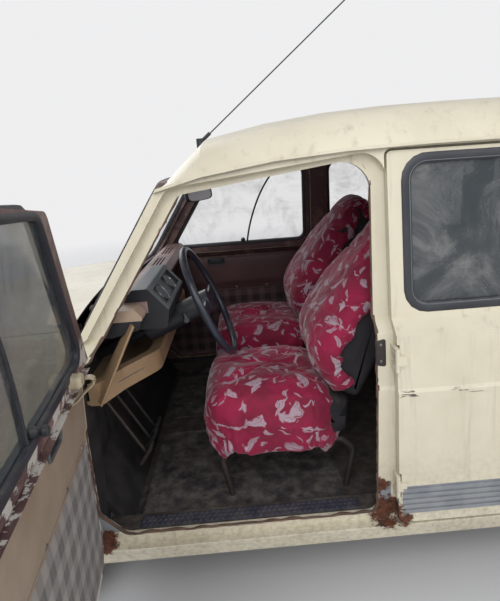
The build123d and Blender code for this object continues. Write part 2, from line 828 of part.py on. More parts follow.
def rear_suspension():
    pivot = (rear_pivot_x, rear_pivot_z)
    axle = rod((pivot[0], -520, pivot[1]), (pivot[0], 520, pivot[1]), 34)
    for side in (-1, 1):
        axle += rod((pivot[0], side * 490, pivot[1]), (rear_axle_x, side * 500, tyre_radius), 24)
        axle += along_axle(rear_axle_x, side * 480, side * (rear_track / 2 + 30), stub_radius)
        axle += along_axle(rear_axle_x, side * 500, side * 590, drum_radius)
    return axle


seat_profile = [
    (545, 470), (566, 560), (545, 640), (480, 672), (150, 655), (200, 780), (112, 930), (0, 1062),
    (-90, 1176), (-165, 1176), (-190, 1110), (-30, 760), (60, 560), (80, 470),
]
seat_radii = [20, 60, 40, 60, 8, 60, 100, 100, 26, 26, 40, 120, 60, 20]
seat_front = [(-225, 460), (225, 460), (225, 960), (140, 1180), (-140, 1180), (-225, 960)]
seat_front_radii = [30, 30, 140, 60, 60, 140]
rear_seat_profile = [
    (-360, 420), (-345, 560), (-380, 610), (-760, 590), (-800, 640), (-930, 990), (-960, 1040),
    (-1010, 1040), (-1040, 990), (-880, 560), (-860, 424),
]
rear_seat_radii = [20, 40, 50, 30, 60, 60, 20, 20, 60, 60, 10]
rear_seat_half = 520


def seat(y):
    body = prism_y(seat_profile, -seat_width / 2, seat_width / 2, seat_radii)
    return Pos(0, y, 0) * (body & prism_x(seat_front, -400, 700, seat_front_radii))


def seat_frames():
    frames = []
    foot = floor_z + floor_thickness + seat_gap
    top = 470 - seat_gap - 10
    rear_top = 420 - seat_gap - 12
    for y in (-seat_y, seat_y):
        for dy in (-170, 170):
            bends = [(110, foot), (80, 420), (120, top), (480, top), (525, 420), (500, foot)]
            frames.append(tube_path([(x, y + dy, z) for x, z in bends], 20, 10))
    for y in (-260, 260):
        bends = [(-400, foot), (-400, rear_top), (-820, rear_top), (-820, foot)]
        frames.append(tube_path([(x, y, z) for x, z in bends], 40, 12))
    return [frame & block(-1000, 1000, -900, 900, foot, 900) for frame in frames]


def rear_seat():
    return prism_y(rear_seat_profile, -rear_seat_half, rear_seat_half, rear_seat_radii)


def steering_wheel():
    """Ring on two flat spokes, with a round horn boss."""
    x, y, z = wheel_centre
    wheel = Torus(wheel_rim_radius, grip_radius)
    for side in (-1, 1):
        wheel += Pos(side * wheel_rim_radius / 2, 0, -4) * Box(wheel_rim_radius - 8, 34, 8)
    wheel += Pos(0, 0, -14) * Cylinder(42, 36)
    plane = Plane((x, y, z), x_dir=(0, 1, 0), z_dir=(-cos(column_tilt), 0, sin(column_tilt)))
    return plane * wheel


def down_column(distance):
    x, y, z = wheel_centre
    return (x + distance * cos(column_tilt), y, z - distance * sin(column_tilt))


def steering_column():
    x, y, z = wheel_centre
    to_firewall = (firewall_x - 1 - x) / cos(column_tilt)
    column = rod(down_column(32 + seat_gap), down_column(240), 40)
    column += rod(down_column(240), down_column(to_firewall), 20)
    column += rod((x + 90, y + 30, z - 36), (x + 60, y + 190, z - 6), 8)
    return column & block(0, firewall_x - seat_gap, -900, 900, 0, 1500)


def dashboard():
    """Pressed top with demister slots, and a hooded pod with two dials."""
    rail = [(868, 912), (868, 940), (800, dash_top_z), (728, dash_top_z), (706, 968), (720, 930), (800, 912)]
    dash = prism_y(rail, -dash_half, dash_half, [0, 0, 20, 12, 12, 12, 0])
    for x in (752, 766, 780):
        for y in (-400, -130):
            dash -= block(x, x + 7, y - 90, y + 90, dash_top_z - 8, dash_top_z + 5)
    hood = [(790, 985), (748, 1032), (700, 1032), (640, 960), (650, 905), (760, 905)]
    pod = prism_y(hood, pod_y - pod_half, pod_y + pod_half, 14)
    face = Pos(670, pod_y, 996) * Rot(0, pod_slope, 0)
    pod -= face * Box(62, 2 * pod_half - 60, 20)
    for y in (-75, 75):
        pod += face * Pos(0, y, -7.5) * Cylinder(dial_radius, 7)
    dash += pod
    x, y, z = wheel_centre
    dash -= rod((x - 110, y, z + 44), (x + 470, y, z - 190), 48)
    return (dash & inner_cabin) - ahead_of_screen(screen_frame + seat_gap)


def parcel_shelf():
    """Open tray under the dashboard, with a padded lip that sweeps forward at both doors."""
    edge = [(846, -640), (800, -540), (708, -400), (708, 400), (800, 540), (846, 640)]
    radii = [0, 90, 90, 90, 90, 0]
    end, back = post_x - seat_gap, post_y - seat_gap
    plan = [(end, -640)] + edge + [(end, 640)]
    plan_radii = [0] + radii + [0]
    tray = prism_z(plan, shelf_z, shelf_z + shelf_tray, plan_radii)
    tray += block(end - 1, firewall_x - seat_gap, -back, back, shelf_z, shelf_z + shelf_tray)
    lip = prism_z(plan, shelf_lip_low, shelf_lip_high, plan_radii)
    inside = [(x + shelf_lip, y) for x, y in edge]
    hollow = [(1000, -700), (inside[0][0], -700)] + inside + [(inside[-1][0], 700), (1000, 700)]
    lip -= prism_z(hollow, 700, 800, [0, 0] + radii + [0, 0])
    return (tray + lip) & inner_cabin


pedal_ys = (210, 300, 390)
gear_knob = (600, 110, 880)


def controls():
    """Three hung pedals, and the gear lever that comes out of the bulkhead."""
    cabin_side = block(0, firewall_x - seat_gap, -900, 900, 0, 1500)
    pieces = []
    for y in pedal_ys:
        pad = Pos(800, y, 400) * Rot(0, -35, 0) * Box(12, 56, 70)
        pad += rod((800, y, 400), (firewall_x, y, 640), 6)
        pieces.append(pad & cabin_side)
    elbow = (640, 60, 860)
    lever = rod((firewall_x, 60, 800), elbow, 9) + rod(elbow, gear_knob, 9)
    pieces.append((lever + Pos(*gear_knob) * Sphere(22)) & cabin_side)
    return pieces


def engine():
    return block(1030, 1600, -200, 200, engine_low, 800)


def exhaust():
    """Pipe from the engine to a silencer and out ahead of the left rear wheel."""
    top = (1100, -180, engine_low - seat_gap)
    bends = [(1100, -180, pipe_z), (1000, pipe_y, pipe_z), (-500, pipe_y, pipe_z), (-640, -560, pipe_z)]
    route = [top] + bends + [(-680, -700, pipe_z)]
    pipe = rod((300, pipe_y, pipe_z), (-240, pipe_y, pipe_z), silencer_radius)
    for start, end in zip(route, route[1:]):
        pipe += rod(start, end, pipe_radius)
    for bend in bends:
        pipe += Pos(*bend) * Sphere(pipe_radius)
    return pipe


def fuel_tank():
    return block(-1700, -1420, -300, 300, 262, rear_floor_z - floor_thickness - seat_gap)


def aerial():
    """Whip on a round foot, sloping back over the roof."""
    x, z = aerial_x, crown_at(aerial_x) - aerial_sunk
    tip_x = x - aerial_length * cos(aerial_lean)
    tip_z = z + 24 + aerial_length * sin(aerial_lean)
    mast = Pos(x, 0, z) * Cylinder(aerial_base, 36, align=(Align.CENTER, Align.CENTER, Align.MIN))
    mast += rod((x + 8, 0, z + 14), (x - 40, 0, z + 54), 7)
    mast += rod((x, 0, z + 20), (tip_x, 0, tip_z), 2.5)
    return mast - under_roof(-seat_gap)


def tail_lamps():
    lamps = [Pos(-1794, side * 622, 640) * Box(60, 72, 180) for side in (-1, 1)]
    return [lamp - cabin(-seat_gap) for lamp in lamps]


def interior_mirror():
    glass = Pos(556, 0, mirror_z) * Rot(0, 8, 0) * Box(16, 190, 56)
    stalk = rod((562, 0, mirror_z + 10), (625, 0, mirror_z + 97), 7)
    return (glass + stalk - ahead_of_screen(screen_frame + seat_gap)) & under_roof(roof_thickness + seat_gap)


parts = {}
parts["platform"] = platform()
parts["boot_floor"] = boot_floor()
parts["front_frame"] = front_frame()
parts["body_side_left"] = left_side
parts["body_side_right"] = mirror(left_side, Plane.XZ)
parts["roof"] = roof()
parts["front_wings"] = front_wings()
parts["bonnet"] = bonnet()
parts["grille"] = grille()
parts["bulkhead"] = firewall
parts["fixed_windows"] = [screen_pane, quarter_pane, mirror(quarter_pane, Plane.XZ)]
parts["headlamps"] = headlamps()
parts["tail_lamps"] = tail_lamps()
parts["front_bumper"] = bumper(1)
parts["rear_bumper"] = bumper(-1)
parts["dashboard"] = dashboard()
parts["parcel_shelf"] = parcel_shelf()
parts["steering_column"] = steering_column()
parts["steering_wheel"] = steering_wheel()
parts["driver_controls"] = controls()
parts["front_seat_left"] = seat(seat_y)
parts["front_seat_right"] = seat(-seat_y)
parts["seat_frames"] = seat_frames()
parts["rear_seat"] = rear_seat()
parts["interior_mirror"] = interior_mirror()
parts["aerial"] = aerial()
parts["engine_block"] = engine()
parts["exhaust"] = exhaust()
parts["fuel_tank"] = fuel_tank()
parts["front_suspension"] = front_suspension()
parts["rear_suspension"] = rear_suspension()
parts["door_front_right_panel"] = mirror(front_panel, Plane.XZ)
parts["door_front_right_window"] = mirror(front_pane, Plane.XZ)
parts["door_rear_left_panel"] = rear_panel
parts["door_rear_left_window"] = rear_pane
parts["door_rear_right_panel"] = mirror(rear_panel, Plane.XZ)
parts["door_rear_right_window"] = mirror(rear_pane, Plane.XZ)
front_hinge = Axis((front_hinge_x, hinge_y, 0), (0, 0, -1))
parts["door_front_left_panel"] = front_panel.rotate(front_hinge, door_front_open)
parts["door_front_left_window"] = front_pane.rotate(front_hinge, door_front_open)
parts["tailgate_panel"], parts["tailgate_window"] = tailgate()
for side, hand in ((1, "left"), (-1, "right")):
    parts["knuckle_" + hand] = knuckle() if side > 0 else mirror(knuckle(), Plane.XZ)
    for end, x, track in (("front", front_axle_x, front_track), ("rear", rear_axle_x, rear_track)):
        parts["tyre_" + end + "_" + hand] = wheel_at(tyre(), x, track, side)
        parts["rim_" + end + "_" + hand] = wheel_at(rim(), x, track, side)

os.makedirs("parts", exist_ok=True)
for name, shape in parts.items():
    if isinstance(shape, list):
        shape = Compound(children=shape)
    export_step(shape, "parts/" + name + ".step")
    print(name, len(shape.solids()), round(shape.volume / 1e6, 2))
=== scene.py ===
import bmesh
import bpy
import numpy as np
from mathutils import Matrix, Vector


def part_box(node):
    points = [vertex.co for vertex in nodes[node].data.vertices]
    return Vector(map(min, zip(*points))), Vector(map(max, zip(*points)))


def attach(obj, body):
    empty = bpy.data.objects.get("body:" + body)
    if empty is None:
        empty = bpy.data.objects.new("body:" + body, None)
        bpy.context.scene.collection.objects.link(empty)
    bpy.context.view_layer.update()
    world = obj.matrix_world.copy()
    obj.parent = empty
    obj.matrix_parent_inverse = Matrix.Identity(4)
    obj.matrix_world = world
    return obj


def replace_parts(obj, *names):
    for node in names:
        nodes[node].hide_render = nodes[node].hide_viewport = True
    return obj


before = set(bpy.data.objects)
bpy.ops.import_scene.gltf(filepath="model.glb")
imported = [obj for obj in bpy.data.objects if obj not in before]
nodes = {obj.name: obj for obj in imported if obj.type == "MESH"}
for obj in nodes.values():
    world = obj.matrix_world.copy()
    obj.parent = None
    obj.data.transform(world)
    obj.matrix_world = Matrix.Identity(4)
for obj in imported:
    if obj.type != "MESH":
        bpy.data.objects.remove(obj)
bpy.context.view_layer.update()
print("frame loaded:", len(nodes), "pieces")

# Camera, floor and light

cameraFacts = {
    "place": (0.3888, 1.9998, 1.3943),  # metres, left of the open doorway
    "turn": 1.736,  # degrees to the side, from straight across the car
    "tip": 13.30,  # degrees down
    "roll": -4.03,
    "focalPixels": 499.0,
    "centrePixel": (263.5, 276.3),
    "imageSize": (500, 601),
}


def turnAbout(axis, degrees):  # rotation matrix about x (0), y (1) or z (2)
    return np.array(Matrix.Rotation(np.radians(degrees), 3, "XYZ"[axis]))


def placeCamera(facts):
    # rows of the level view: right, down and forward of someone who looks at the car's left side
    level = np.array([[-1, 0, 0], [0, 0, -1], [0, -1, 0]])
    look = turnAbout(2, facts["roll"]) @ turnAbout(0, facts["tip"]) @ turnAbout(1, -facts["turn"]) @ level
    wide, high = facts["imageSize"]
    data = bpy.data.cameras.new("camera")
    data.sensor_width = 36
    data.lens = 36 * facts["focalPixels"] / high
    data.shift_x = (wide / 2 - facts["centrePixel"][0]) / high
    data.shift_y = (facts["centrePixel"][1] - high / 2) / high
    data.clip_start = 0.02
    camera = bpy.data.objects.new("camera", data)
    bpy.context.collection.objects.link(camera)
    axes = Matrix(np.array([look[0], -look[1], -look[2]]).T).to_4x4()
    camera.matrix_world = Matrix.Translation(facts["place"]) @ axes
    bpy.context.scene.camera = camera


lightFacts = {
    "sky": 0.62,  # strength of the even light from all round
    "lamps": [  # place, what it points at, size in metres, watts
        ((1.2, 5.5, 4.2), (0, 0, 0.8), 4.0, 190),
        ((-4.5, 3.5, 3.8), (-0.8, 0, 0.8), 3.0, 90),
        ((3.5, -5.0, 4.0), (0, 0, 0.8), 4.0, 120),
    ],
}


def placeLights(facts):
    for number, (place, aim, size, watts) in enumerate(facts["lamps"]):
        data = bpy.data.lights.new("softLamp%d" % number, "AREA")
        data.size = size
        data.energy = watts
        lamp = bpy.data.objects.new(data.name, data)
        bpy.context.collection.objects.link(lamp)
        lamp.location = place
        lamp.rotation_euler = (Vector(aim) - Vector(place)).to_track_quat("-Z", "Y").to_euler()


# Shader writing: sums on sockets read as sums


class Wire:
    def __init__(self, maker, socket):
        self.maker = maker
        self.socket = socket

    def math(self, operation, other=0.0, flip=False):
        first, second = (other, self) if flip else (self, other)
        return self.maker.add("ShaderNodeMath", {"operation": operation}, {0: first, 1: second})

    def __add__(self, other):
        return self.math("ADD", other)

    def __radd__(self, other):
        return self.math("ADD", other, True)

    def __sub__(self, other):
        return self.math("SUBTRACT", other)

    def __rsub__(self, other):
        return self.math("SUBTRACT", other, True)

    def __mul__(self, other):
        return self.math("MULTIPLY", other)

    def __rmul__(self, other):
        return self.math("MULTIPLY", other, True)

    def __truediv__(self, other):
        return self.math("DIVIDE", other)

    def __rtruediv__(self, other):
        return self.math("DIVIDE", other, True)

    def __pow__(self, other):
        return self.math("POWER", other)

    def over(self, level):  # 1 where this is above level
        return self.math("GREATER_THAN", level)

    def under(self, level):
        return self.math("LESS_THAN", level)

    def most(self, other):
        return self.math("MAXIMUM", other)

    def least(self, other):
        return self.math("MINIMUM", other)

    def sine(self):
        return self.math("SINE")

    def size(self):
        return self.math("ABSOLUTE")

    def ramp(self, low, high):  # smooth 0 to 1 as this goes from low to high
        return self.maker.add(
            "ShaderNodeMapRange", {"interpolation_type": "SMOOTHSTEP", "clamp": True},
            {"Value": self, "From Min": low, "From Max": high})

    def vector(self, operation, other=(0, 0, 0), out=0):
        key = "Scale" if operation == "SCALE" else 1
        return self.maker.add("ShaderNodeVectorMath", {"operation": operation}, {0: self, key: other}, out)

    def parts(self):
        node = self.maker.add("ShaderNodeSeparateXYZ", {}, {0: self}).socket.node
        return [Wire(self.maker, output) for output in node.outputs]

class Finish:
    def __init__(self, name, swung=False):
        self.material = bpy.data.materials.new(name)
        self.material.use_nodes = True
        self.tree = self.material.node_tree
        self.tree.nodes.clear()
        self.place = self.add("ShaderNodeTexCoord", {}, {}, "Object")
        self.facing = self.add("ShaderNodeTexCoord", {}, {}, "Normal")
        if swung:  # patterns of the open door are laid out on the door as it is when shut
            x, y = doorSwing["hinge"]
            turn = {"rotation_type": "Z_AXIS"}
            angle = np.radians(doorSwing["open"])
            sockets = {"Vector": self.place, "Center": (x, y, 0), "Angle": angle}
            self.place = self.add("ShaderNodeVectorRotate", turn, sockets)
            self.facing = self.add("ShaderNodeVectorRotate", turn, {"Vector": self.facing, "Angle": angle})

    def add(self, kind, settings, values, out=0):
        node = self.tree.nodes.new(kind)
        for key, value in settings.items():
            setattr(node, key, value)
        for key, value in values.items():
            if isinstance(value, Wire):
                self.tree.links.new(value.socket, node.inputs[key])
            else:
                node.inputs[key].default_value = value
        return Wire(self, node.outputs[out]) if len(node.outputs) else None

    def noise(self, scale, detail=3.0, rough=0.5, bend=0.0, at=None):
        return self.add("ShaderNodeTexNoise", {}, {
            "Vector": at or self.place, "Scale": scale, "Detail": detail, "Roughness": rough,
            "Distortion": bend})

    def stretched(self, factors, at=None):  # coordinates multiplied by three factors
        return (at or self.place).vector("MULTIPLY", factors)

    def cells(self, scale, out="Distance", at=None, feature="F1"):
        sockets = {"Vector": at or self.place, "Scale": scale}
        return self.add("ShaderNodeTexVoronoi", {"feature": feature}, sockets, out)

    def mix(self, share, first, second):
        first = first if isinstance(first, Wire) else tuple(first) + (1,)
        second = second if isinstance(second, Wire) else tuple(second) + (1,)
        return self.add("ShaderNodeMix", {"data_type": "RGBA"}, {0: share, 6: first, 7: second}, 2)

    def join(self, x, y, z):
        return self.add("ShaderNodeCombineXYZ", {}, {0: x, 1: y, 2: z})

    def near(self, point, reach):  # 1 at a point of the car, 0 at a distance of reach
        away = self.place.vector("DISTANCE", point, "Value")
        return 1 - away.ramp(0, reach)

    def bump(self, height, depth):
        return self.add("ShaderNodeBump", {}, {"Height": height, "Distance": depth, "Strength": 1.0})

    def done(self, colour, rough=0.5, metal=0.0, normal=None, **more):
        colour = colour if isinstance(colour, Wire) else tuple(colour) + (1,)
        values = {"Base Color": colour, "Roughness": rough, "Metallic": metal}
        if normal:
            values["Normal"] = normal
        values.update({key.replace("_", " "): value for key, value in more.items()})
        shader = self.add("ShaderNodeBsdfPrincipled", {}, values)
        self.add("ShaderNodeOutputMaterial", {}, {"Surface": shader})
        return self.material


# Finishes

doorSwing = {"hinge": (0.909, 0.742), "open": 84}  # of the left front door: its pin, and degrees from shut

paintFacts = {
    "cream": (0.70, 0.645, 0.50),
    "aged": (0.60, 0.545, 0.41),
    "inner": (0.10, 0.052, 0.052),
    "innerWorn": (0.20, 0.125, 0.11),
    "peel": (0.56, 0.53, 0.48),
    "rust": (0.13, 0.042, 0.018),
    "deepRust": (0.035, 0.014, 0.009),
    "dirt": (0.20, 0.16, 0.12),
    "lining": (0.42, 0.38, 0.32),
    "scuff": (0.03, 0.028, 0.028),
    "rubbing": ((0.20, 0.215, 0.235), (0.27, 0.28, 0.29)),
    "rustSpots": [  # place on the car and reach, in metres
        ((0.03, 0.72, 0.335), 0.11), ((0.045, 0.71, 0.42), 0.06), ((0.87, 0.72, 0.32), 0.08),
        ((0.045, 0.71, 0.83), 0.045), ((-0.02, 0.74, 0.31), 0.06),
        ((-1.20, -0.72, 0.58), 0.07), ((0.60, -0.72, 0.30), 0.09), ((-1.62, 0.70, 0.36), 0.10),
        ((-1.70, -0.5, 0.42), 0.09), ((1.30, -0.72, 0.50), 0.06),
    ],
}


def makePaint(name, side, swung=False):
    # side tells which way the inner face looks: 1 or -1 across the car, 0 for roof, nose and tail
    facts = paintFacts
    p = Finish(name, swung)
    x, y, z = p.place.parts()
    nx, ny, nz = p.facing.parts()
    cloudy = p.noise(3.5, 5, 0.6)
    speck = p.noise(60, 4, 0.65)
    outer = p.mix(cloudy.ramp(0.3, 0.75), facts["cream"], facts["aged"])
    streak = p.noise(1.0, 4, 0.7, at=p.stretched((28, 28, 1.5))).ramp(0.52, 0.80)
    outer = p.mix(streak * 0.35, outer, facts["dirt"])
    low = 1 - z.ramp(0.24, 0.62)
    outer = p.mix(low * speck.ramp(0.35, 0.75) * 0.45, outer, facts["dirt"])
    if side:
        # black scuffs along the ledge, and the ribbed rubbing strip, which stands proud of the panel
        dashes = p.noise(1.0, 3, 0.6, at=p.stretched((13, 0, 90))).ramp(0.58, 0.62)
        ledge = z.ramp(0.714, 0.720) * (1 - z.ramp(0.731, 0.737))
        outer = p.mix(dashes * ledge * (x.under(0.0)) * 0.9, outer, facts["scuff"])
        length = x.size().over(0.0125) * (x.over(-0.750).most(x.under(-1.20)))
        strip = length * z.over(0.3372) * z.under(0.4315)
        outer = p.mix(strip, outer, p.mix(p.noise(14, 5, 0.6).ramp(0.35, 0.7), *facts["rubbing"]))
        worn = p.noise(9, 6, 0.7).ramp(0.46, 0.60)
        inner = p.mix(worn, facts["inner"], facts["innerWorn"])
        if swung:
            flakes = p.noise(13, 6, 0.75).ramp(0.50, 0.53) * (1 - z.ramp(0.975, 1.02))
            inner = p.mix(flakes, inner, facts["peel"])
    else:
        inner = p.mix(cloudy.ramp(0.35, 0.7), facts["lining"], facts["dirt"])
    inward = {1: -1 * ny, -1: ny, 0: -1 * nz}[side].ramp(0.35, 0.55)
    if swung:  # behind the skin every face has the inner colour, the ledge under the window too
        behind = 0.714 - z.ramp(0.880, 0.926) * 0.056 - (z - 0.93).most(0) * 0.0719
        inward = inward.most(y.under(behind))
    colour = p.mix(inward, outer, inner)
    pits = p.noise(85, 3, 0.6).ramp(0.72, 0.78) * p.noise(7, 2).ramp(0.50, 0.62)
    rust = pits
    if not swung:
        for place, reach in facts["rustSpots"]:
            rust = rust.most(p.near(place, reach))
    ragged = (rust * 0.85 + p.noise(24, 7, 0.8) * 1.5 - 1.12).ramp(0.02, 0.20)
    rusty = p.mix(p.noise(55, 4, 0.7).ramp(0.35, 0.62), facts["deepRust"], facts["rust"])
    colour = p.mix(ragged, colour, rusty)
    shine = 0.34 + cloudy * 0.14 + ragged * 0.4 + low * 0.1
    height = p.noise(240, 2) * 0.02 + p.noise(2.2, 2) * 0.8 - ragged * 0.5 + ragged * speck * 0.5
    return p.done(colour, shine, 0.0, p.bump(height, 0.0016), Specular_IOR_Level=0.5)


def makePlain(name, colour, other, rough, grain=200.0, depth=0.0004, metal=0.0, patch=6.0, dust=0.25,
              swung=False, **more):
    # an even colour that drifts to another in soft patches, with fine grain and dust on what faces up
    p = Finish(name, swung)
    drift = p.noise(patch, 5, 0.6)
    mixed = p.mix(drift.ramp(0.32, 0.72), colour, other)
    nx, ny, nz = p.facing.parts()
    settled = nz.ramp(0.2, 0.95) * p.noise(22, 5, 0.7).ramp(0.35, 0.75) * dust
    mixed = p.mix(settled, mixed, (0.30, 0.27, 0.23))
    grainy = p.noise(grain, 3, 0.6)
    return p.done(mixed, rough + (grainy - 0.5) * 0.2 + settled * 0.3, metal, p.bump(grainy, depth), **more)


def makeGlass(name, dust, tint=(0.05, 0.06, 0.065)):
    p = Finish(name)
    smear = p.noise(5, 6, 0.7, 0.6).ramp(0.42, 0.78)
    spots = p.cells(70).under(0.10) * p.noise(9, 2).ramp(0.45, 0.6)
    film = smear * 0.5 + spots * 0.35
    colour = p.mix(film, tint, (0.36, 0.35, 0.33))
    return p.done(colour, 0.06 + film * 0.35, 0.0, Alpha=(film * 0.45 + dust).least(0.95), IOR=1.5)


def makePlaid(name, base, light, dark, swung=False, pitch=0.066):
    # woven checks: crossing bands of soft stripes over a fine twill
    p = Finish(name, swung)
    x, y, z = p.place.parts()
    along, up = x + y * 0.35, z
    bandA = (along * (6.2832 / pitch)).sine().ramp(-0.2, 0.3)
    bandB = (up * (6.2832 / pitch)).sine().ramp(-0.2, 0.3)
    fineA = (along * (6.2832 / pitch * 3)).sine().ramp(0.2, 0.8)
    colour = p.mix(bandA * 0.5 + bandB * 0.5, dark, light)
    colour = p.mix(fineA * 0.25, colour, base)
    colour = p.mix(p.noise(5, 5, 0.6).ramp(0.4, 0.8) * 0.5, colour, dark)
    weave = ((along + up) * 2600).sine() * ((along - up) * 2600).sine()
    return p.done(colour, 0.85, 0.0, p.bump(weave, 0.0002), Sheen_Weight=0.15)


printFacts = {
    "crimson": (0.34, 0.006, 0.055),
    # painted shade: the same crimson as it looks in shadow
    "deep": (0.19, 0.004, 0.030),
    "chalk": (0.44, 0.32, 0.38),
    "layers": [  # strokes per metre, half length, half breadth, bow, seed
        (9.6, 0.043, 0.0155, 9, 0.0),
        (15.0, 0.024, 0.0080, -14, 3.7),
    ],
}


def strokes(p, bent, facts):
    # pale brush strokes, one in each cell, along a random line in the cloth's own plane, with hairy ends
    pitch, length, breadth, bow, seed = facts
    at = bent.vector("ADD", (seed, seed * 0.7, seed * 1.3))
    centre = p.cells(pitch, "Position", at)
    chance = p.cells(pitch, "Color", at)
    away = at.vector("SUBTRACT", centre)
    flat = away.vector("SUBTRACT", p.facing.vector("SCALE", away.vector("DOT_PRODUCT", p.facing, "Value")))
    aim = chance.vector("SUBTRACT", (0.5, 0.5, 0.5))
    aim = aim.vector("SUBTRACT", p.facing.vector("SCALE", aim.vector("DOT_PRODUCT", p.facing, "Value")))
    aim = aim.vector("NORMALIZE")
    cross = p.facing.vector("CROSS_PRODUCT", aim)
    along = flat.vector("DOT_PRODUCT", aim, "Value")
    across = flat.vector("DOT_PRODUCT", cross, "Value") + along * along * bow - 0.004
    red, green, _ = chance.parts()
    wide = breadth * (0.5 + green)
    shape = (along / length) * (along / length) + (across / wide) * (across / wide)
    hairs = p.noise(1.0, 4, 0.75, at=p.join(along * 34, across * 330, red * 50))
    mark = 1 - (shape + hairs * 1.5).ramp(1.15, 1.45)
    return mark * (1 - hairs.ramp(0.52, 0.60) * 0.8)


def makePrint(name):
    facts = printFacts
    p = Finish(name)
    wander = p.add("ShaderNodeTexNoise", {}, {"Vector": p.place, "Scale": 16.0, "Detail": 3.0}, "Color")
    bent = p.place.vector("ADD", wander.vector("SCALE", 0.030))
    marks = strokes(p, bent, facts["layers"][0]).most(strokes(p, bent, facts["layers"][1]) * 0.9)
    # random patches of the crimson's shaded tone: partly uneven colour, partly painted shade
    body = p.mix(p.noise(7, 4, 0.6).ramp(0.35, 0.7), facts["crimson"], facts["deep"])
    colour = p.mix(marks, body, facts["chalk"])
    soft = p.noise(26, 4, 0.55, 0.8)
    knit = p.noise(900, 1)
    folds = p.bump(soft * 2 + knit * 0.12, 0.0022)
    return p.done(colour, 0.78, 0.0, folds, Sheen_Weight=0.35, Sheen_Roughness=0.4)


wheelPlaces = {"front": (1.210, 0.268), "rear": (-1.205, 0.268)}


def makeTread(name):
    # black rubber: ribs and zigzag blocks on the tread, rings on the wall, and painted shade darkening the
    # tread's grooves
    p = Finish(name)
    x, y, z = p.place.parts()
    middle = x.over(0) * (wheelPlaces["front"][0] - wheelPlaces["rear"][0]) + wheelPlaces["rear"][0]
    dx, dz = x - middle, z - wheelPlaces["front"][1]
    angle = dz.math("ARCTAN2", dx)
    radius = (dx * dx + dz * dz) ** 0.5
    tread = radius.ramp(0.258, 0.263)
    blocks = ((angle * 62 + (y * 230).sine() * 1.3).sine()).ramp(-0.95, -0.55)
    ribs = (y * 260).sine().size().ramp(0.10, 0.30)
    rings = (radius * 900).sine() * 0.08 * (1 - tread)
    grain = p.noise(90, 3, 0.6)
    colour = p.mix(p.noise(5, 5, 0.6).ramp(0.35, 0.7), (0.022, 0.022, 0.023), (0.055, 0.05, 0.044))
    # painted shade: the sunken grooves between the blocks are darkened
    colour = p.mix(tread * (1 - blocks * ribs) * 0.7, colour, (0.008, 0.008, 0.008))
    height = tread * blocks * ribs + rings + grain * 0.08
    return p.done(colour, 0.8 - grain * 0.1, 0.0, p.bump(height, 0.006))


def makeDash(name):
    # pinkish metal top rail, grey pod round the dials, black fascia below
    p = Finish(name)
    x, y, z = p.place.parts()
    nx, ny, nz = p.facing.parts()
    pod = (y - 0.335).size().under(0.188) * x.under(0.800) * (z.over(0.9935) + x.under(0.704)).least(1)
    top = z.over(0.958) * (1 - pod)
    pod = pod * nz.ramp(0.25, 0.40)
    metal = p.mix(p.noise(6, 5, 0.6).ramp(0.35, 0.7), (0.34, 0.225, 0.205), (0.24, 0.165, 0.15))
    metal = p.mix(y.ramp(0.525, 0.545), metal, (0.40, 0.29, 0.21))
    shell = p.mix(p.noise(9, 4).ramp(0.3, 0.7), (0.07, 0.09, 0.095), (0.11, 0.125, 0.125))
    colour = p.mix(pod, (0.016, 0.017, 0.021), shell)
    colour = p.mix(top, colour, metal)
    grain = p.noise(380, 3, 0.6)
    return p.done(colour, 0.42 + grain * 0.15, 0.0, p.bump(grain, 0.0003))


def makeTailLens(name):
    # amber over red over clear, each with fine upright ribs
    p = Finish(name)
    x, y, z = p.place.parts()
    shade = p.mix(z.over(0.668), (0.40, 0.012, 0.012), (0.62, 0.17, 0.010))
    shade = p.mix(z.under(0.590), shade, (0.60, 0.60, 0.57))
    joint = ((z - 0.668).size().under(0.0016) + (z - 0.590).size().under(0.0016)).least(1)
    shade = p.mix(joint, shade, (0.05, 0.04, 0.04))
    shade = p.mix(p.noise(12, 4).ramp(0.45, 0.8) * 0.3, shade, (0.20, 0.16, 0.12))
    ribs = (y * 1500).sine() * 0.5 + (z * 900).sine() * 0.3
    return p.done(shade, 0.16 + joint * 0.4, 0.0, p.bump(ribs, 0.0008), Coat_Weight=0.6)


def makeBulkhead(name):
    # maroon paint round the windscreen, black sound deadening below the shelf
    p = Finish(name)
    x, y, z = p.place.parts()
    worn = p.noise(9, 6, 0.7).ramp(0.46, 0.62)
    upper = p.mix(worn, (0.11, 0.07, 0.068), (0.24, 0.175, 0.16))
    lower = p.mix(p.noise(12, 4).ramp(0.3, 0.7), (0.016, 0.016, 0.018), (0.036, 0.032, 0.031))
    colour = p.mix(z.ramp(0.88, 0.90), lower, upper)
    grain = p.noise(90, 4, 0.65)
    return p.done(colour, 0.55 + grain * 0.15, 0.0, p.bump(grain, 0.0008))


def makeDialFace(name):
    # black face with pale ticks round its edge and a pale needle
    p = Finish(name)
    x, y, z = p.place.parts()
    side = (y - 0.335).size() - 0.075
    up = (z - 0.990) * 1.302
    angle = up.math("ARCTAN2", side)
    radius = (side * side + up * up) ** 0.5
    ticks = (angle * 28).sine().over(0.72) * radius.over(0.021) * radius.under(0.026)
    needle = (side * 0.8 + up * 0.6).size().under(0.0009) * (up * 0.8 - side * 0.6).over(-0.004)
    needle = needle * radius.under(0.022)
    colour = p.mix(ticks.most(needle), (0.012, 0.012, 0.014), (0.62, 0.62, 0.58))
    return p.done(colour, 0.18, 0.0, p.bump(p.noise(200, 2), 0.0001), Coat_Weight=0.4)


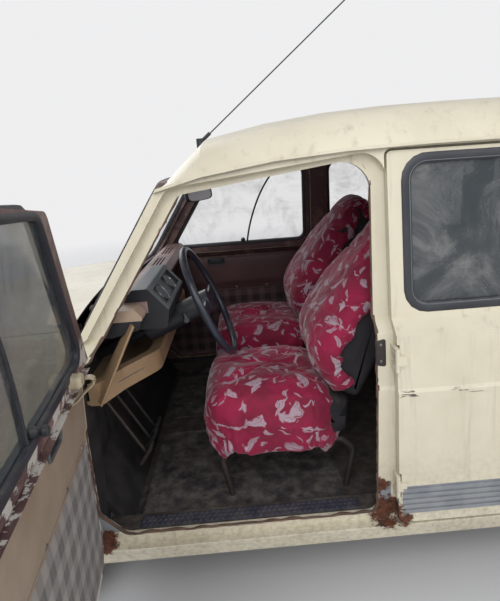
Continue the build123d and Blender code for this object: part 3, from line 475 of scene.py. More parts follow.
print("writing finishes")
bodyOuter = {
    1: makePaint("creamPaintLeft", 1),
    -1: makePaint("creamPaintRight", -1),
    0: makePaint("creamPaint", 0),
}
paintOpen = makePaint("creamPaintOpenDoor", 1, swung=True)
rubberBlack = makePlain("windowRubber", (0.022, 0.024, 0.030), (0.045, 0.047, 0.055), 0.48, 120, 0.0003)
# pale grey: a painted highlight line on the window rubbers, and the real stitching on the shelf's lip
beadGrey = makePlain("paleHighlightAndSeam", (0.16, 0.18, 0.20), (0.10, 0.11, 0.12), 0.42, 120, 0.0002)
glassDoor = makeGlass("dustyGlass", 0.80)
glassNear = makeGlass("openDoorGlass", 0.58)
glassClear = makeGlass("thinGlass", 0.06)
# the open door's vinyl and plaid below are the lit tone; the maroon copy after each is painted shade
vinylTanOpen = makePlain("tanVinylOpenDoor", (0.37, 0.29, 0.215), (0.29, 0.215, 0.155), 0.50, 700, 0.0004,
                         swung=True)
# painted shade: the same vinyl as it looks in shadow, darker and redder, for the shut doors
vinylShadedCopy = makePlain("maroonVinylShadedCopy", (0.085, 0.038, 0.040), (0.12, 0.055, 0.052), 0.5, 700, 0.0004)
plaidOpen = makePlaid("greyPlaidOpenDoor", (0.25, 0.22, 0.20), (0.33, 0.30, 0.27), (0.12, 0.105, 0.10),
                      swung=True)
# painted shade: the same plaid as it looks in shadow, darker and redder, for the shut doors
plaidShadedCopy = makePlaid("maroonPlaidShadedCopy", (0.09, 0.045, 0.05), (0.15, 0.085, 0.085), (0.035, 0.02, 0.022))
latchCream = makePlain("latchCream", (0.55, 0.47, 0.33), (0.42, 0.34, 0.22), 0.42, 200, 0.0003, swung=True)
dashPaint = makeDash("dashPaint")
blackPlastic = makePlain("blackPlastic", (0.014, 0.016, 0.020), (0.026, 0.028, 0.033), 0.42, 400, 0.0003)
podGrey = makePlain("podPlastic", (0.05, 0.065, 0.07), (0.09, 0.10, 0.10), 0.4, 400, 0.0003)
shelfTan = makePlain("tanShelf", (0.42, 0.285, 0.165), (0.33, 0.215, 0.12), 0.40, 500, 0.0004)
wheelBlack = makePlain("wheelRimPlastic", (0.018, 0.020, 0.032), (0.03, 0.034, 0.050), 0.30, 300, 0.0002)
wornChrome = makePlain("wornChrome", (0.55, 0.55, 0.55), (0.38, 0.36, 0.34), 0.28, 90, 0.0002, metal=1.0)
bareSteel = makePlain("dullSteel", (0.30, 0.29, 0.28), (0.20, 0.16, 0.13), 0.5, 90, 0.0003, metal=0.85)
rustSteel = makePlain("rustySteel", (0.10, 0.05, 0.028), (0.05, 0.03, 0.022), 0.75, 60, 0.0012, patch=25)
sealBrown = makePlain("agedSeal", (0.07, 0.042, 0.030), (0.15, 0.085, 0.055), 0.8, 220, 0.001, patch=18)
underCoat = makePlain("underCoating", (0.028, 0.026, 0.026), (0.06, 0.045, 0.036), 0.85, 45, 0.0015)
bulkheadPaint = makeBulkhead("bulkheadPaint")
darkCloth = makePlain("darkCloth", (0.018, 0.016, 0.020), (0.03, 0.027, 0.03), 0.9, 600, 0.0006)
rearCloth = makePlaid("rearCloth", (0.06, 0.045, 0.05), (0.09, 0.07, 0.075), (0.03, 0.022, 0.026))
seatPrint = makePrint("brushMarkCloth")
chassisBlack = makePlain("chassisBlack", (0.02, 0.02, 0.02), (0.05, 0.035, 0.028), 0.6, 80, 0.0006)
castIron = makePlain("castIron", (0.10, 0.095, 0.09), (0.05, 0.045, 0.042), 0.65, 70, 0.0015, metal=0.5)
tyreRubber = makeTread("tyreRubber")
wheelGrey = makePlain("wheelPaint", (0.42, 0.42, 0.42), (0.30, 0.28, 0.25), 0.42, 120, 0.0003)
bumperGrey = makePlain("bumperPaint", (0.24, 0.25, 0.265), (0.17, 0.165, 0.16), 0.4, 120, 0.0003)
lampGlass = makePlain("lampGlass", (0.62, 0.64, 0.64), (0.5, 0.5, 0.48), 0.12, 60, 0.0006, dust=0.1)
tailLens = makeTailLens("tailLens")
grilleBlack = makePlain("grilleBlack", (0.02, 0.02, 0.021), (0.045, 0.043, 0.04), 0.5, 200, 0.0003)
mirrorGlass = makePlain("hazyMirror", (0.62, 0.61, 0.62), (0.52, 0.52, 0.52), 0.16, 40, 0.0001, metal=0.35)
dialFace = makeDialFace("dialFace")
floorMat = makePlain("floorMat", (0.020, 0.020, 0.026), (0.06, 0.052, 0.05), 0.82, 150, 0.001,
                     patch=9, dust=0.5)
sillMat = makePlain("sillMat", (0.022, 0.024, 0.045), (0.04, 0.042, 0.06), 0.7, 150, 0.0006, dust=0.2)

nodeFinish = {
    "platform": underCoat, "boot_floor": underCoat, "front_frame": underCoat,
    "body_side_left": bodyOuter[1], "body_side_right": bodyOuter[-1],
    "roof": bodyOuter[0], "front_wings": bodyOuter[0], "bonnet": bodyOuter[0], "grille": grilleBlack,
    "bulkhead": bulkheadPaint, "fixed_windows": glassClear, "headlamps": lampGlass, "tail_lamps": tailLens,
    "front_bumper": bumperGrey, "rear_bumper": bumperGrey, "dashboard": dashPaint, "parcel_shelf": shelfTan,
    "steering_column": blackPlastic, "steering_wheel": wheelBlack, "driver_controls": chassisBlack,
    "front_seat_left": darkCloth, "front_seat_right": darkCloth, "rear_seat": rearCloth,
    "seat_frames": chassisBlack,
    "interior_mirror": blackPlastic, "aerial": blackPlastic, "engine_block": castIron, "exhaust": rustSteel,
    "fuel_tank": chassisBlack, "front_suspension": chassisBlack, "rear_suspension": chassisBlack,
    "tailgate_panel": bodyOuter[0], "tailgate_window": glassDoor,
    "knuckle_left": castIron, "knuckle_right": castIron,
}
for hand, side in (("left", 1), ("right", -1)):
    for end in ("front", "rear"):
        nodeFinish["door_%s_%s_panel" % (end, hand)] = bodyOuter[side]
        nodeFinish["door_%s_%s_window" % (end, hand)] = glassDoor if side > 0 else glassClear
        nodeFinish["tyre_%s_%s" % (end, hand)] = tyreRubber
        nodeFinish["rim_%s_%s" % (end, hand)] = wheelGrey
nodeFinish["door_front_left_panel"] = paintOpen
nodeFinish["door_front_left_window"] = glassNear
for name, finish in nodeFinish.items():
    nodes[name].data.materials.clear()
    nodes[name].data.materials.append(finish)

# Shapes: each piece below is one or more grids of points worked out with numpy

bodyShape = {  # half width of the car's side at each height, in metres
    "height": (0.235, 0.291, 0.430, 0.728, 0.738, 0.893, 0.930, 1.375, 1.460),
    "half": (0.705, 0.728, 0.738, 0.738, 0.731, 0.725, 0.677, 0.645, 0.639),
    "taperFrom": -1.15,
    "taper": 0.040,  # metres narrower for each metre behind that
}


def evenly(points, step, closed=False):
    # the same line with its points at equal distances
    line = np.vstack([points, points[:1]]) if closed else np.asarray(points, float)
    reach = np.concatenate([[0], np.cumsum(np.linalg.norm(np.diff(line, axis=0), axis=1))])
    count = max(4, int(round(reach[-1] / step)))
    at = np.linspace(0, reach[-1], count + 1)
    even = np.stack([np.interp(at, reach, line[:, k]) for k in range(line.shape[1])], 1)
    return even[:-1] if closed else even


def rounded(points, radii, step=0.02, closed=True):
    # straight runs joined at each corner by an arc of the corner's radius
    corners = np.array(points, float)
    radii = np.broadcast_to(radii, len(corners))
    runs = []
    for i, here in enumerate(corners):
        if not closed and i in (0, len(corners) - 1):
            runs.append(here[None])
            continue
        before = corners[i - 1] - here
        after = corners[(i + 1) % len(corners)] - here
        before, after = before / np.linalg.norm(before), after / np.linalg.norm(after)
        half = 0.5 * np.arccos(np.clip(before @ after, -1, 1))
        middle = here + (before + after) / np.linalg.norm(before + after) * radii[i] / np.sin(half)
        first = here + before * radii[i] / np.tan(half) - middle
        last = here + after * radii[i] / np.tan(half) - middle
        share = np.linspace(0, 1, 9)[:, None]
        chord = first * (1 - share) + last * share
        runs.append(middle + chord / np.linalg.norm(chord, axis=1)[:, None] * radii[i])
    return evenly(np.concatenate(runs), step, closed)


def halfAt(x, z):
    # half width of the side by height, less the taper towards the tail
    facts = bodyShape
    straight = np.interp(z, facts["height"], facts["half"])
    return straight - facts["taper"] * np.maximum(0, facts["taperFrom"] - x)


def onSide(x, z, depth, hand=1):
    # a point of the left or right side at x and z, moved inboard by depth
    x, z, depth = np.broadcast_arrays(np.asarray(x, float), z, depth)
    return np.stack([x, hand * (halfAt(x, z) - depth), z], -1)


def swing(points, facts):
    # turns points of the closed left front door about its hinge to where the door stands
    angle = np.radians(facts["open"])
    x, y = points[..., 0] - facts["hinge"][0], points[..., 1] - facts["hinge"][1]
    turned = [x * np.cos(angle) + y * np.sin(angle) + facts["hinge"][0],
              -x * np.sin(angle) + y * np.cos(angle) + facts["hinge"][1], points[..., 2]]
    return np.stack(turned, -1)


def carry(profile, path, outward, closed=False):
    # a profile carried along a path: its first number goes across the path, its second outwards
    path = np.asarray(path, float)
    ahead = np.roll(path, -1, 0) - np.roll(path, 1, 0) if closed else np.gradient(path, axis=0)
    ahead /= np.linalg.norm(ahead, axis=1)[:, None]
    outward = np.broadcast_to(np.asarray(outward, float), path.shape)
    outward = outward - ahead * np.sum(outward * ahead, 1)[:, None]
    outward = outward / np.linalg.norm(outward, axis=1)[:, None]
    across = np.cross(outward, ahead)
    if closed and np.sum((path - path.mean(0)) * across) < 0:
        across = -across
    profile = np.asarray(profile, float)
    grid = path[:, None] + across[:, None] * profile[None, :, :1] + outward[:, None] * profile[None, :, 1:]
    return grid if closed else capped(grid)


def capped(grid):
    # a row shrunk to one point at each end closes the ends of a tube
    ends = [np.repeat(grid[k].mean(0)[None], grid.shape[1], 0)[None] for k in (0, -1)]
    return np.concatenate([ends[0], grid, ends[1]])


def ring(width, height, count=12, power=2.0):
    # closed profile: an ellipse, or with a higher power a rounded box
    angle = np.linspace(0, 2 * np.pi, count, endpoint=False)
    c, s = np.cos(angle), np.sin(angle)
    across = width * np.sign(c) * np.abs(c) ** (2 / power)
    return np.stack([across, height * np.sign(s) * np.abs(s) ** (2 / power)], 1)


def turned(profile, centre, axis, count=24):
    # a profile of distance along an axis and radius, turned about the axis
    axis = np.asarray(axis, float) / np.linalg.norm(axis)
    side = np.cross(axis, (0, 0, 1) if abs(axis[2]) < 0.9 else (1, 0, 0))
    side /= np.linalg.norm(side)
    other = np.cross(axis, side)
    angle = np.linspace(0, 2 * np.pi, count, endpoint=False)[None, :, None]
    profile = np.asarray(profile, float)[:, None, :]
    spoke = np.cos(angle) * side + np.sin(angle) * other
    return np.asarray(centre) + profile[..., :1] * axis + profile[..., 1:] * spoke


def padOn(outline, place, rise, rings=7, power=6.0, sink=0.002):
    # a pad with an outline in x and z: place(x, z, out) gives its points, and it stands out by rise,
    # which falls to nothing at its edge as 1 - s**power; its back is a little inside the panel
    share = np.concatenate([np.linspace(0, 0.8, rings), [0.9, 0.96, 1.0]])[:, None]
    middle = outline.mean(0)
    x = middle[0] + (outline[None, :, 0] - middle[0]) * share
    z = middle[1] + (outline[None, :, 1] - middle[1]) * share
    front = place(x, z, rise * (1 - share ** power) + 0.0005)
    back = place(x[::-3], z[::-3], np.full_like(x[::-3], -sink))
    return np.concatenate([front, back, place(x[:1], z[:1], np.full_like(x[:1], -sink))])


def makePiece(name, grids, finish, body, around=True, along=False, hand=1, swung=False):
    # grids of points (rows, columns, 3) as one mesh; around joins the last column to the first
    points, faces, start = [], [], 0
    for grid in grids:
        if hand < 0:
            grid = grid * (1, -1, 1)
        if swung:
            grid = swing(grid, doorSwing)
        rows, columns = grid.shape[:2]
        index = start + np.arange(rows * columns).reshape(rows, columns)
        start += rows * columns
        if around:
            index = np.hstack([index, index[:, :1]])
        if along:
            index = np.vstack([index, index[:1]])
        corners = [index[:-1, :-1], index[1:, :-1], index[1:, 1:], index[:-1, 1:]]
        faces.append(np.stack(corners, -1).reshape(-1, 4))
        points.append(grid.reshape(-1, 3))
    mesh = bpy.data.meshes.new(name)
    mesh.from_pydata(np.concatenate(points).tolist(), [], np.concatenate(faces).tolist())
    work = bmesh.new()
    work.from_mesh(mesh)
    bmesh.ops.remove_doubles(work, verts=work.verts, dist=1e-5)
    bmesh.ops.dissolve_degenerate(work, edges=work.edges, dist=1e-6)
    bmesh.ops.recalc_face_normals(work, faces=work.faces)
    work.to_mesh(mesh)
    work.free()
    mesh.shade_smooth()
    mesh.set_sharp_from_angle(angle=0.75)
    piece = bpy.data.objects.new(name, mesh)
    bpy.context.collection.objects.link(piece)
    mesh.materials.append(finish)
    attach(piece, body)
    return piece


# Windows

windowFacts = {
    "front": ([(0.068, 0.958), (0.788, 0.958), (0.545, 1.328), (0.062, 1.362)], [0.045, 0.03, 0.055, 0.055]),
    "rear": ([(-0.056, 0.958), (-0.806, 0.958), (-0.806, 1.363), (-0.056, 1.365)],
             [0.05, 0.055, 0.06, 0.055]),
    "quarter": ([(-0.93, 0.958), (-1.48, 0.958), (-1.40, 1.30), (-0.93, 1.345)], [0.045, 0.05, 0.05, 0.05]),
    "tail": ([(-0.505, 0.985), (0.505, 0.985), (0.48, 1.325), (-0.48, 1.325)], [0.045] * 4),
    "screen": ([(-0.592, 0.948), (0.592, 0.948), (0.566, 1.335), (-0.566, 1.335)], [0.06] * 4),
    "outer": [(-0.012, -0.0118), (-0.012, -0.003), (-0.007, 0.002), (0.004, 0.0035), (0.012, 0.003),
              (0.016, 0.0002), (0.015, -0.0015), (-0.001, -0.003), (-0.002, -0.0118)],
    "inner": [(-0.012, -0.0162), (-0.002, -0.0162), (-0.001, -0.0255), (0.003, -0.0257), (0.0036, -0.0264),
              (0.001, -0.0276), (-0.006, -0.0276), (-0.012, -0.0240)],
    "bead": (-0.0065, 0.0022, 0.0014),  # place across, height and radius of the pale line in the rubber, a painted highlight along its ridge
    "rake": 0.6569,  # metres back for each metre up
    "bow": (4.5736, 0.930),  # radius of the windscreen's plan, and x of its middle at the waist
    "tailSlope": 0.2966,
}


def screenAt(y, z, depth):
    # the windscreen: a circle in plan, leaning back with height
    radius, front = windowFacts["bow"]
    x = front - (radius - np.sqrt(radius ** 2 - y ** 2)) - (z - 0.93) * windowFacts["rake"] - depth
    return np.stack(np.broadcast_arrays(x, y, z), -1)


def sealWindow(name, path, outward, body, profiles, hand=1, swung=False, bead=True):
    grids = [carry(profile, path, outward, True) for profile in profiles]
    makePiece(name + "_rubber", grids, rubberBlack, body, along=True, hand=hand, swung=swung)
    if bead:
        # a thin pale grey tube on the rubber: painted highlight along its ridge
        across, height, radius = windowFacts["bead"]
        line = carry(ring(radius, radius, 8) + (across, height), path, outward, True)
        makePiece(name + "_bead", [line], beadGrey, body, along=True, hand=hand, swung=swung)


def makeWindows():
    profiles = [windowFacts["outer"], windowFacts["inner"]]
    sideways = (0, 1, 0.07)
    for hand, word in ((1, "left"), (-1, "right")):
        for end in ("front", "rear"):
            outline = rounded(*windowFacts[end])
            path = onSide(outline[:, 0], outline[:, 1], 0)
            body = "door_%s_%s" % (end, word)
            sealWindow(body, path, sideways, body, profiles, hand, body == "door_front_left")
        outline = rounded(*windowFacts["quarter"])
        path = onSide(outline[:, 0], outline[:, 1], 0)
        sealWindow("quarter_" + word, path, sideways, "body", profiles, hand)
    outline = rounded(*windowFacts["tail"])
    height = outline[:, 1]
    path = np.stack([-1.738 + (height - 0.930) * windowFacts["tailSlope"], outline[:, 0], height], 1)
    sealWindow("tailgate", path, (-1, 0, 0.30), "tailgate", profiles)
    outline = rounded(*windowFacts["screen"])
    path = screenAt(outline[:, 0], outline[:, 1], 0)
    sealWindow("windscreen", path, (0.835, 0, 0.55), "body", [windowFacts["outer"]])


# Doors

doorFacts = {
    "innerDepth": 0.046,  # from the skin to the face that carries the card
    "front": {
        "card": ([(0.072, 0.700), (0.848, 0.700), (0.852, 0.884), (0.072, 0.884)],
                 [0.008, 0.008, 0.022, 0.075]),
        "cloth": ([(0.072, 0.350), (0.795, 0.350), (0.852, 0.410), (0.852, 0.706), (0.072, 0.706)],
                  [0.03, 0.03, 0.03, 0.006, 0.006]),
        "pocket": (0.560, 0.866),
        "handle": 0.108,
    },
    "rear": {
        "card": ([(-0.800, 0.700), (-0.070, 0.700), (-0.070, 0.884), (-0.800, 0.884)],
                 [0.008, 0.008, 0.022, 0.075]),
        "cloth": ([(-0.712, 0.350), (-0.070, 0.350), (-0.070, 0.706), (-0.800, 0.706), (-0.800, 0.580)],
                  [0.04, 0.03, 0.006, 0.006, 0.04]),
        "pocket": (-0.560, 0.866),
        "handle": -0.762,
    },
    "cardRise": 0.006,
    "clothRise": 0.004,
    "pocketHalf": 0.048,
    "lockBeside": 0.095,  # from the handle's place forward to its lock
    "catch": (0.665, 0.950),  # the window catch of the open door, and its pull below it
    "pull": (0.715, 0.905),
    "divider": [(0.384, 0.957), (0.366, 1.05), (0.318, 1.18), (0.262, 1.28), (0.195, 1.354)],
    "knob": (0.404, 0.978),
}


def inside():
    # places points of a door's inner face: out is metres from that face towards the cabin
    return lambda x, z, out: onSide(x, z, doorFacts["innerDepth"] + out, 1)


def makeCards(end, hand, body, swung):
    facts = doorFacts[end]
    near = hand > 0 and end == "front"
    # the open door gets the lit vinyl and plaid, the shut doors their painted shaded copies
    tone = {"card": vinylTanOpen if near else vinylShadedCopy, "cloth": plaidOpen if near else plaidShadedCopy}
    place = inside()
    cards = [
        ("card", "shelf_tan", padOn(rounded(*facts["card"], step=0.012), place, doorFacts["cardRise"])),
        ("cloth", "rear_cloth", padOn(rounded(*facts["cloth"], step=0.012), place, doorFacts["clothRise"])),
    ]
    for kind, slot, grid in cards:
        makePiece("%s_%s" % (body, kind), [grid], tone[kind], body, hand=hand, swung=swung)
    # rolled edge round the card, and a row of clips
    outline = rounded(*facts["card"], step=0.012)
    depth = doorFacts["innerDepth"] + doorFacts["cardRise"] * 0.3
    path = onSide(outline[:, 0], outline[:, 1], depth)
    piping = carry(ring(0.0028, 0.0028, 8), path, (0, -1, 0), True)
    clips = []
    for x in np.linspace(facts["card"][0][0][0] + 0.05, facts["card"][0][1][0] - 0.05, 5):
        at = onSide(x, 0.712, doorFacts["innerDepth"] + 0.004)
        head = [(0.0, 0.001), (-0.0, 0.006), (-0.003, 0.005), (-0.0042, 0.001)]
        clips.append(turned(head, at, (0, 1, 0), 12))
    makePiece(body + "_piping", [piping], tone["card"], body,
              along=True, hand=hand, swung=swung)
    makePiece(body + "_clips", clips, bareSteel, body, hand=hand, swung=swung)


def makePocket(end, hand, body, swung):
    # dished finger pocket in the card, with a lip round it
    x0, z0 = doorFacts[end]["pocket"]
    half = doorFacts["pocketHalf"]
    outline = rounded([(x0 - half, z0 - 0.017), (x0 + half, z0 - 0.017), (x0 + half * 0.9, z0 + 0.017),
                       (x0 - half * 0.9, z0 + 0.017)], 0.012, 0.004)
    dish = padOn(outline, inside(), 0.0075, power=8)
    makePiece(body + "_pocket", [dish], blackPlastic, body, hand=hand, swung=swung)
    path = onSide(outline[:, 0], outline[:, 1], doorFacts["innerDepth"] + 0.007)
    lip = carry(ring(0.0035, 0.0045, 10), path, (0, -1, 0), True)
    makePiece(body + "_pocket_lip", [lip], podGrey, body, along=True, hand=hand, swung=swung)


def makeDivider(hand, body, swung):
    # thin curved upright between the two panes of a front window, and the catch at its foot
    line = evenly(np.array(doorFacts["divider"]), 0.02)
    wanted, given = np.linspace(0, 1, 28), np.linspace(0, 1, len(line))
    smooth = np.stack([np.interp(wanted, given, line[:, k]) for k in (0, 1)], 1)
    for _ in range(6):  # each inner point moves to the mean of its neighbours
        smooth[1:-1] = (smooth[:-2] + smooth[2:]) / 2
    path = onSide(smooth[:, 0], smooth[:, 1], 0.0175)
    bar = carry(ring(0.0045, 0.0035, 10, 3), path, (0, 1, 0.07))
    outer = carry(ring(0.0045, 0.0025, 10, 3), path + (0, 0.0075, 0), (0, 1, 0.07))
    makePiece(body + "_divider", [bar, outer], rubberBlack, body, hand=hand, swung=swung)
    x, z = doorFacts["knob"]
    foot = onSide(x, z, 0.016)
    profile = [(0, 0.001), (0, 0.011), (-0.006, 0.012), (-0.012, 0.008), (-0.020, 0.0075), (-0.023, 0.010),
               (-0.030, 0.0095), (-0.033, 0.006), (-0.034, 0.0005)]
    knob = turned(profile, foot, (0, 1, 0), 16)
    makePiece(body + "_knob", [knob], blackPlastic, body, hand=hand, swung=swung)


def makeCatch():
    # the open door's window catch: a rounded block on the rail, and a bent pull under it
    body = "door_front_left"
    x, z = doorFacts["catch"]
    face = onSide(x, z, 0.026)
    path = face + np.linspace(0.002, -0.024, 8)[:, None] * np.array([0, 1, 0])
    grow = np.array([1, 1, 0.96, 0.96, 1, 1, 0.92, 0.75])[:, None, None]
    block = path[:, None] + (ring(0.019, 0.014, 20, 5) @ np.array([[1, 0, 0], [0, 0, 1]]))[None] * grow
    makePiece("window_catch", [capped(block)], latchCream, body, swung=True)
    x, z = doorFacts["pull"]
    bend = [(x, z + 0.030, 0.046), (x, z + 0.034, 0.060), (x, z + 0.020, 0.076), (x, z - 0.010, 0.078),
            (x, z - 0.030, 0.066), (x, z - 0.034, 0.046)]
    line = evenly(np.array([onSide(a, b, c) for a, b, c in bend]), 0.006)
    for _ in range(3):
        line[1:-1] = (line[:-2] + line[2:]) / 2
    pull = carry(ring(0.011, 0.0032, 12, 3), line, (0, 0, 1))
    makePiece("window_pull", [pull], latchCream, body, swung=True)


def makeDoorLocks():
    # push button beside each handle
    for end in ("front", "rear"):
        for hand, word in ((1, "left"), (-1, "right")):
            body = "door_%s_%s" % (end, word)
            x = doorFacts[end]["handle"] + doorFacts["lockBeside"]
            centre = onSide(x, 0.815, 0)
            profile = [(-0.001, 0.0005), (-0.001, 0.0135), (0.002, 0.0125), (0.0032, 0.009), (0.0032, 0.0005)]
            button = turned(profile, centre, (0, 1, 0), 24)
            swung = body == "door_front_left"
            makePiece(body + "_lock", [button], wornChrome, body, hand=hand, swung=swung)


def makeDoors():
    for end in ("front", "rear"):
        for hand, word in ((1, "left"), (-1, "right")):
            body = "door_%s_%s" % (end, word)
            swung = body == "door_front_left"
            makeCards(end, hand, body, swung)
            makePocket(end, hand, body, swung)
            if end == "front":
                makeDivider(hand, body, swung)
    makeCatch()
    makeDoorLocks()


# Seats

seatFacts = {
    "y": 0.33,
    "half": 0.222,
    "cushion": ([(0.545, 0.470), (0.566, 0.560), (0.545, 0.640), (0.480, 0.668), (0.150, 0.652),
                 (0.070, 0.600), (0.080, 0.470)],
                [0.02, 0.06, 0.04, 0.06, 0.04, 0.03, 0.02]),
    "back": ([(0.150, 0.640), (0.200, 0.780), (0.112, 0.930), (0.0, 1.062), (-0.090, 1.176), (-0.165, 1.176),
              (-0.190, 1.110), (-0.030, 0.760), (0.060, 0.600)],
             [0.03, 0.06, 0.1, 0.1, 0.026, 0.026, 0.04, 0.12, 0.03]),
    "cushionMiddle": (0.345, 0.0),
    "cushionReach": (0.218, 0.226),
    # from the middle of the cushion to the hem: share of the reach, metres below the crown
    "cushionFall": [(0, 0.0), (0.3, 0.0), (0.55, 0.002), (0.76, 0.008), (0.90, 0.023), (0.975, 0.052),
                    (1.0, 0.095), (1.0, 0.150), (0.985, 0.195), (0.955, 0.218), (0.93, 0.222)],
    "crown": 0.680,
    "backLine": [(0.150, 0.640), (0.196, 0.722), (0.202, 0.790), (0.165, 0.860), (0.112, 0.936),
                 (0.055, 1.003), (0.0, 1.067), (-0.050, 1.131), (-0.086, 1.172), (-0.120, 1.190),
                 (-0.158, 1.184), (-0.186, 1.150), (-0.192, 1.110)],
    # across the back from the middle to the hem: share of the half width, metres out, share of the wrap
    "backFall": [(0, 0.007, 0), (0.35, 0.006, 0), (0.62, 0.002, 0), (0.82, -0.006, 0), (0.945, -0.024, 0),
                 (1.0, -0.046, 0.1), (1.01, -0.062, 0.55), (1.0, -0.074, 0.9), (0.985, -0.080, 1)],
    # heights, and the share of the width at each
    "narrowing": ([0.62, 0.96, 1.04, 1.12, 1.18], [1.0, 1.0, 0.90, 0.72, 0.62]),
    "coreHalf": 0.204,
    "cushionCore": (0.075, 0.016),  # rounding at the sides, metres inside the drawing
    "backCore": (0.030, 0.012),
    "pleats": 46,
    "wrinkle": 0.0036,
    "slack": 0.045,  # how much longer the cloth is than the form that it covers
    "pressure": 1.2,
    "reach": (-0.003, 0.016),  # how far the simulation may move a point, inwards and outwards
    "frames": 14,
}


def ripples(points, seed, reach, crossing=(1, 1, 1), count=14):
    # sum of sine waves in seeded directions, with lengths near reach, from about -1 to 1
    chance = np.random.default_rng(seed)
    total = np.zeros(points.shape[:-1])
    for _ in range(count):
        way = chance.normal(size=3) * crossing
        way *= 2 * np.pi / (reach * chance.uniform(0.6, 1.8)) / np.linalg.norm(way)
        total += np.sin(points @ way + chance.uniform(0, 6.28)) * chance.uniform(0.5, 1)
    return total / np.sqrt(count) / 0.75


def creases(points, seed, reach, crossing=(1, 1, 1)):
    # thin folds where the ripples pass through zero
    return np.exp(-(ripples(points, seed, reach, crossing) / 0.28) ** 2)


def cushionCover(seed):
    # a cap over the cushion: rings of a rounded box spread from its middle, drop over its edge
    # and gather in pleats at an elastic hem
    facts = seatFacts
    fall = evenly(np.array(facts["cushionFall"]) * (0.22, 1), 0.0085)
    share, drop = fall[:, 0][:, None] / 0.22, fall[:, 1][:, None]
    angle = np.linspace(0, 2 * np.pi, 216, endpoint=False)[None, :]
    c, s = np.cos(angle), np.sin(angle)
    power = 2 / 5.5
    along = np.sign(c) * np.abs(c) ** power * facts["cushionReach"][0]
    across = np.sign(s) * np.abs(s) ** power * facts["cushionReach"][1]
    depth = drop / facts["cushionFall"][-1][1]
    hem = np.clip((depth - 0.30) / 0.7, 0, 1)
    puff = np.sin(angle * facts["pleats"] + 3 * np.sin(angle * 3 + seed) + 2 * np.sin(angle * 7)) * hem ** 1.4
    slow = np.sin(angle * 9 + seed) * 0.6 + np.sin(angle * 5 + 2 * seed) * 0.4
    share = share * (1 + 0.010 * puff + 0.018 * slow * hem)
    x = facts["cushionMiddle"][0] + along * share
    y = facts["cushionMiddle"][1] + across * share
    z = facts["crown"] - drop - 0.018 * np.clip((0.33 - x) / 0.2, 0, 1) ** 1.5 + 0.020 * slow * hem ** 2
    points = np.stack([x, y, z], -1)
    top = np.clip(1 - depth * 2.2, 0, 1) * np.clip((1.02 - share) / 0.10, 0, 1)
    thin = creases(points, seed + 5, 0.13, (0.5, 1.2, 0))
    folds = ripples(points, seed, 0.10, (1, 1.6, 0)) * 0.55 - thin * 0.8
    points[..., 2] += facts["wrinkle"] * folds * (0.3 + 0.7 * top)
    out = np.stack([along, across], -1)
    out = out / np.linalg.norm(out, axis=-1, keepdims=True)
    side = 0.6 * ripples(points, seed + 9, 0.05, (1, 1, 0.35)) - creases(points, seed + 11, 0.09, (1, 1, 0.3))
    points[..., :2] += out * (facts["wrinkle"] * 0.9 * side * (1 - top))[..., None]
    lining = points[-1:] * 1.0
    lining[..., :2] -= out * 0.012
    return np.concatenate([points, lining, lining + (0, 0, 0.012)])


def backCover(seed):
    # a hood over the seat back: a cross section that wraps both sides is carried up the front,
    # over the top and a little way down behind
    facts = seatFacts
    line = evenly(np.array(facts["backLine"]), 0.0085)
    for _ in range(4):  # each inner point moves to the mean of its neighbours
        line[1:-1] = (line[:-2] + line[2:]) / 2
    ahead = np.gradient(line, axis=0)
    ahead /= np.linalg.norm(ahead, axis=1)[:, None]
    out = np.stack([ahead[:, 1], -ahead[:, 0]], 1)
    level = np.linspace(0, 1, len(line))
    half = facts["half"] * np.interp(line[:, 1], *facts["narrowing"])
    fall = evenly(np.array(facts["backFall"]) * (0.22, 1, 0.05), 0.008)
    fall = np.concatenate([fall[:0:-1] * (-1, 1, 1), fall])
    share, rise, wrap = fall[:, 0] / 0.22, fall[:, 1], fall[:, 2] / 0.05
    overTop = np.clip((level - 0.80) / 0.2, 0, 1)
    rise = rise[None, :] * (1 - 0.45 * overTop[:, None])
    puff = np.sin(level * 120 + 4 * np.sin(level * 17 + seed))[:, None] * np.sign(share) * wrap ** 1.5
    y = half[:, None] * share[None, :] + 0.0035 * puff
    rise = rise + 0.006 * np.sin(level * 40 + seed)[:, None] * wrap ** 2
    flat = line[:, None, :] + out[:, None, :] * rise[..., None]
    points = np.stack([flat[..., 0], y, flat[..., 1]], -1)
    thin = creases(points, seed + 3, 0.13, (0.6, 0.5, 1.2))
    folds = ripples(points, seed, 0.11, (1, 1.6, 0.7)) * 0.6 - thin * 0.9
    tight = np.exp(-((level - 0.04) / 0.10) ** 2)[:, None] * np.sin(y * 120 + seed) * 0.8
    shift = facts["wrinkle"] * (folds + tight)
    points[..., 0] += out[:, None, 0] * shift
    points[..., 2] += out[:, None, 1] * shift
    return points


def carriedAcross(outline, low, high, edge, inset, crown=0.0, channels=1, columns=60):
    # a side outline carried across the car: it rounds off at both ends by edge, lies inset inside
    # its drawing, and swells by crown between its sewn channels
    outline = np.asarray(outline)
    ahead = np.roll(outline, -1, 0) - np.roll(outline, 1, 0)
    out = np.stack([ahead[:, 1], -ahead[:, 0]], 1)
    out /= np.linalg.norm(out, axis=1)[:, None]
    if np.sum((outline - outline.mean(0)) * out) < 0:
        out = -out
    share = 0.5 - 0.5 * np.cos(np.linspace(0, np.pi, columns))
    if channels > 1:
        share = np.concatenate([share[:6], np.linspace(share[6], share[-7], columns * 2), share[-6:]])
    reach = np.minimum(share, 1 - share) * (high - low)
    eased = edge * (1 - np.sqrt(1 - np.clip(1 - reach / edge, 0, 1) ** 2))
    swell = crown * np.abs(np.sin(np.pi * channels * share)) ** 0.45
    shift = (swell - eased - inset)[:, None, None]
    flat = outline[None] + out[None] * shift
    y = np.broadcast_to((low + (high - low) * share)[:, None], flat.shape[:2])
    return capped(np.stack([flat[..., 0], y, flat[..., 1]], -1))


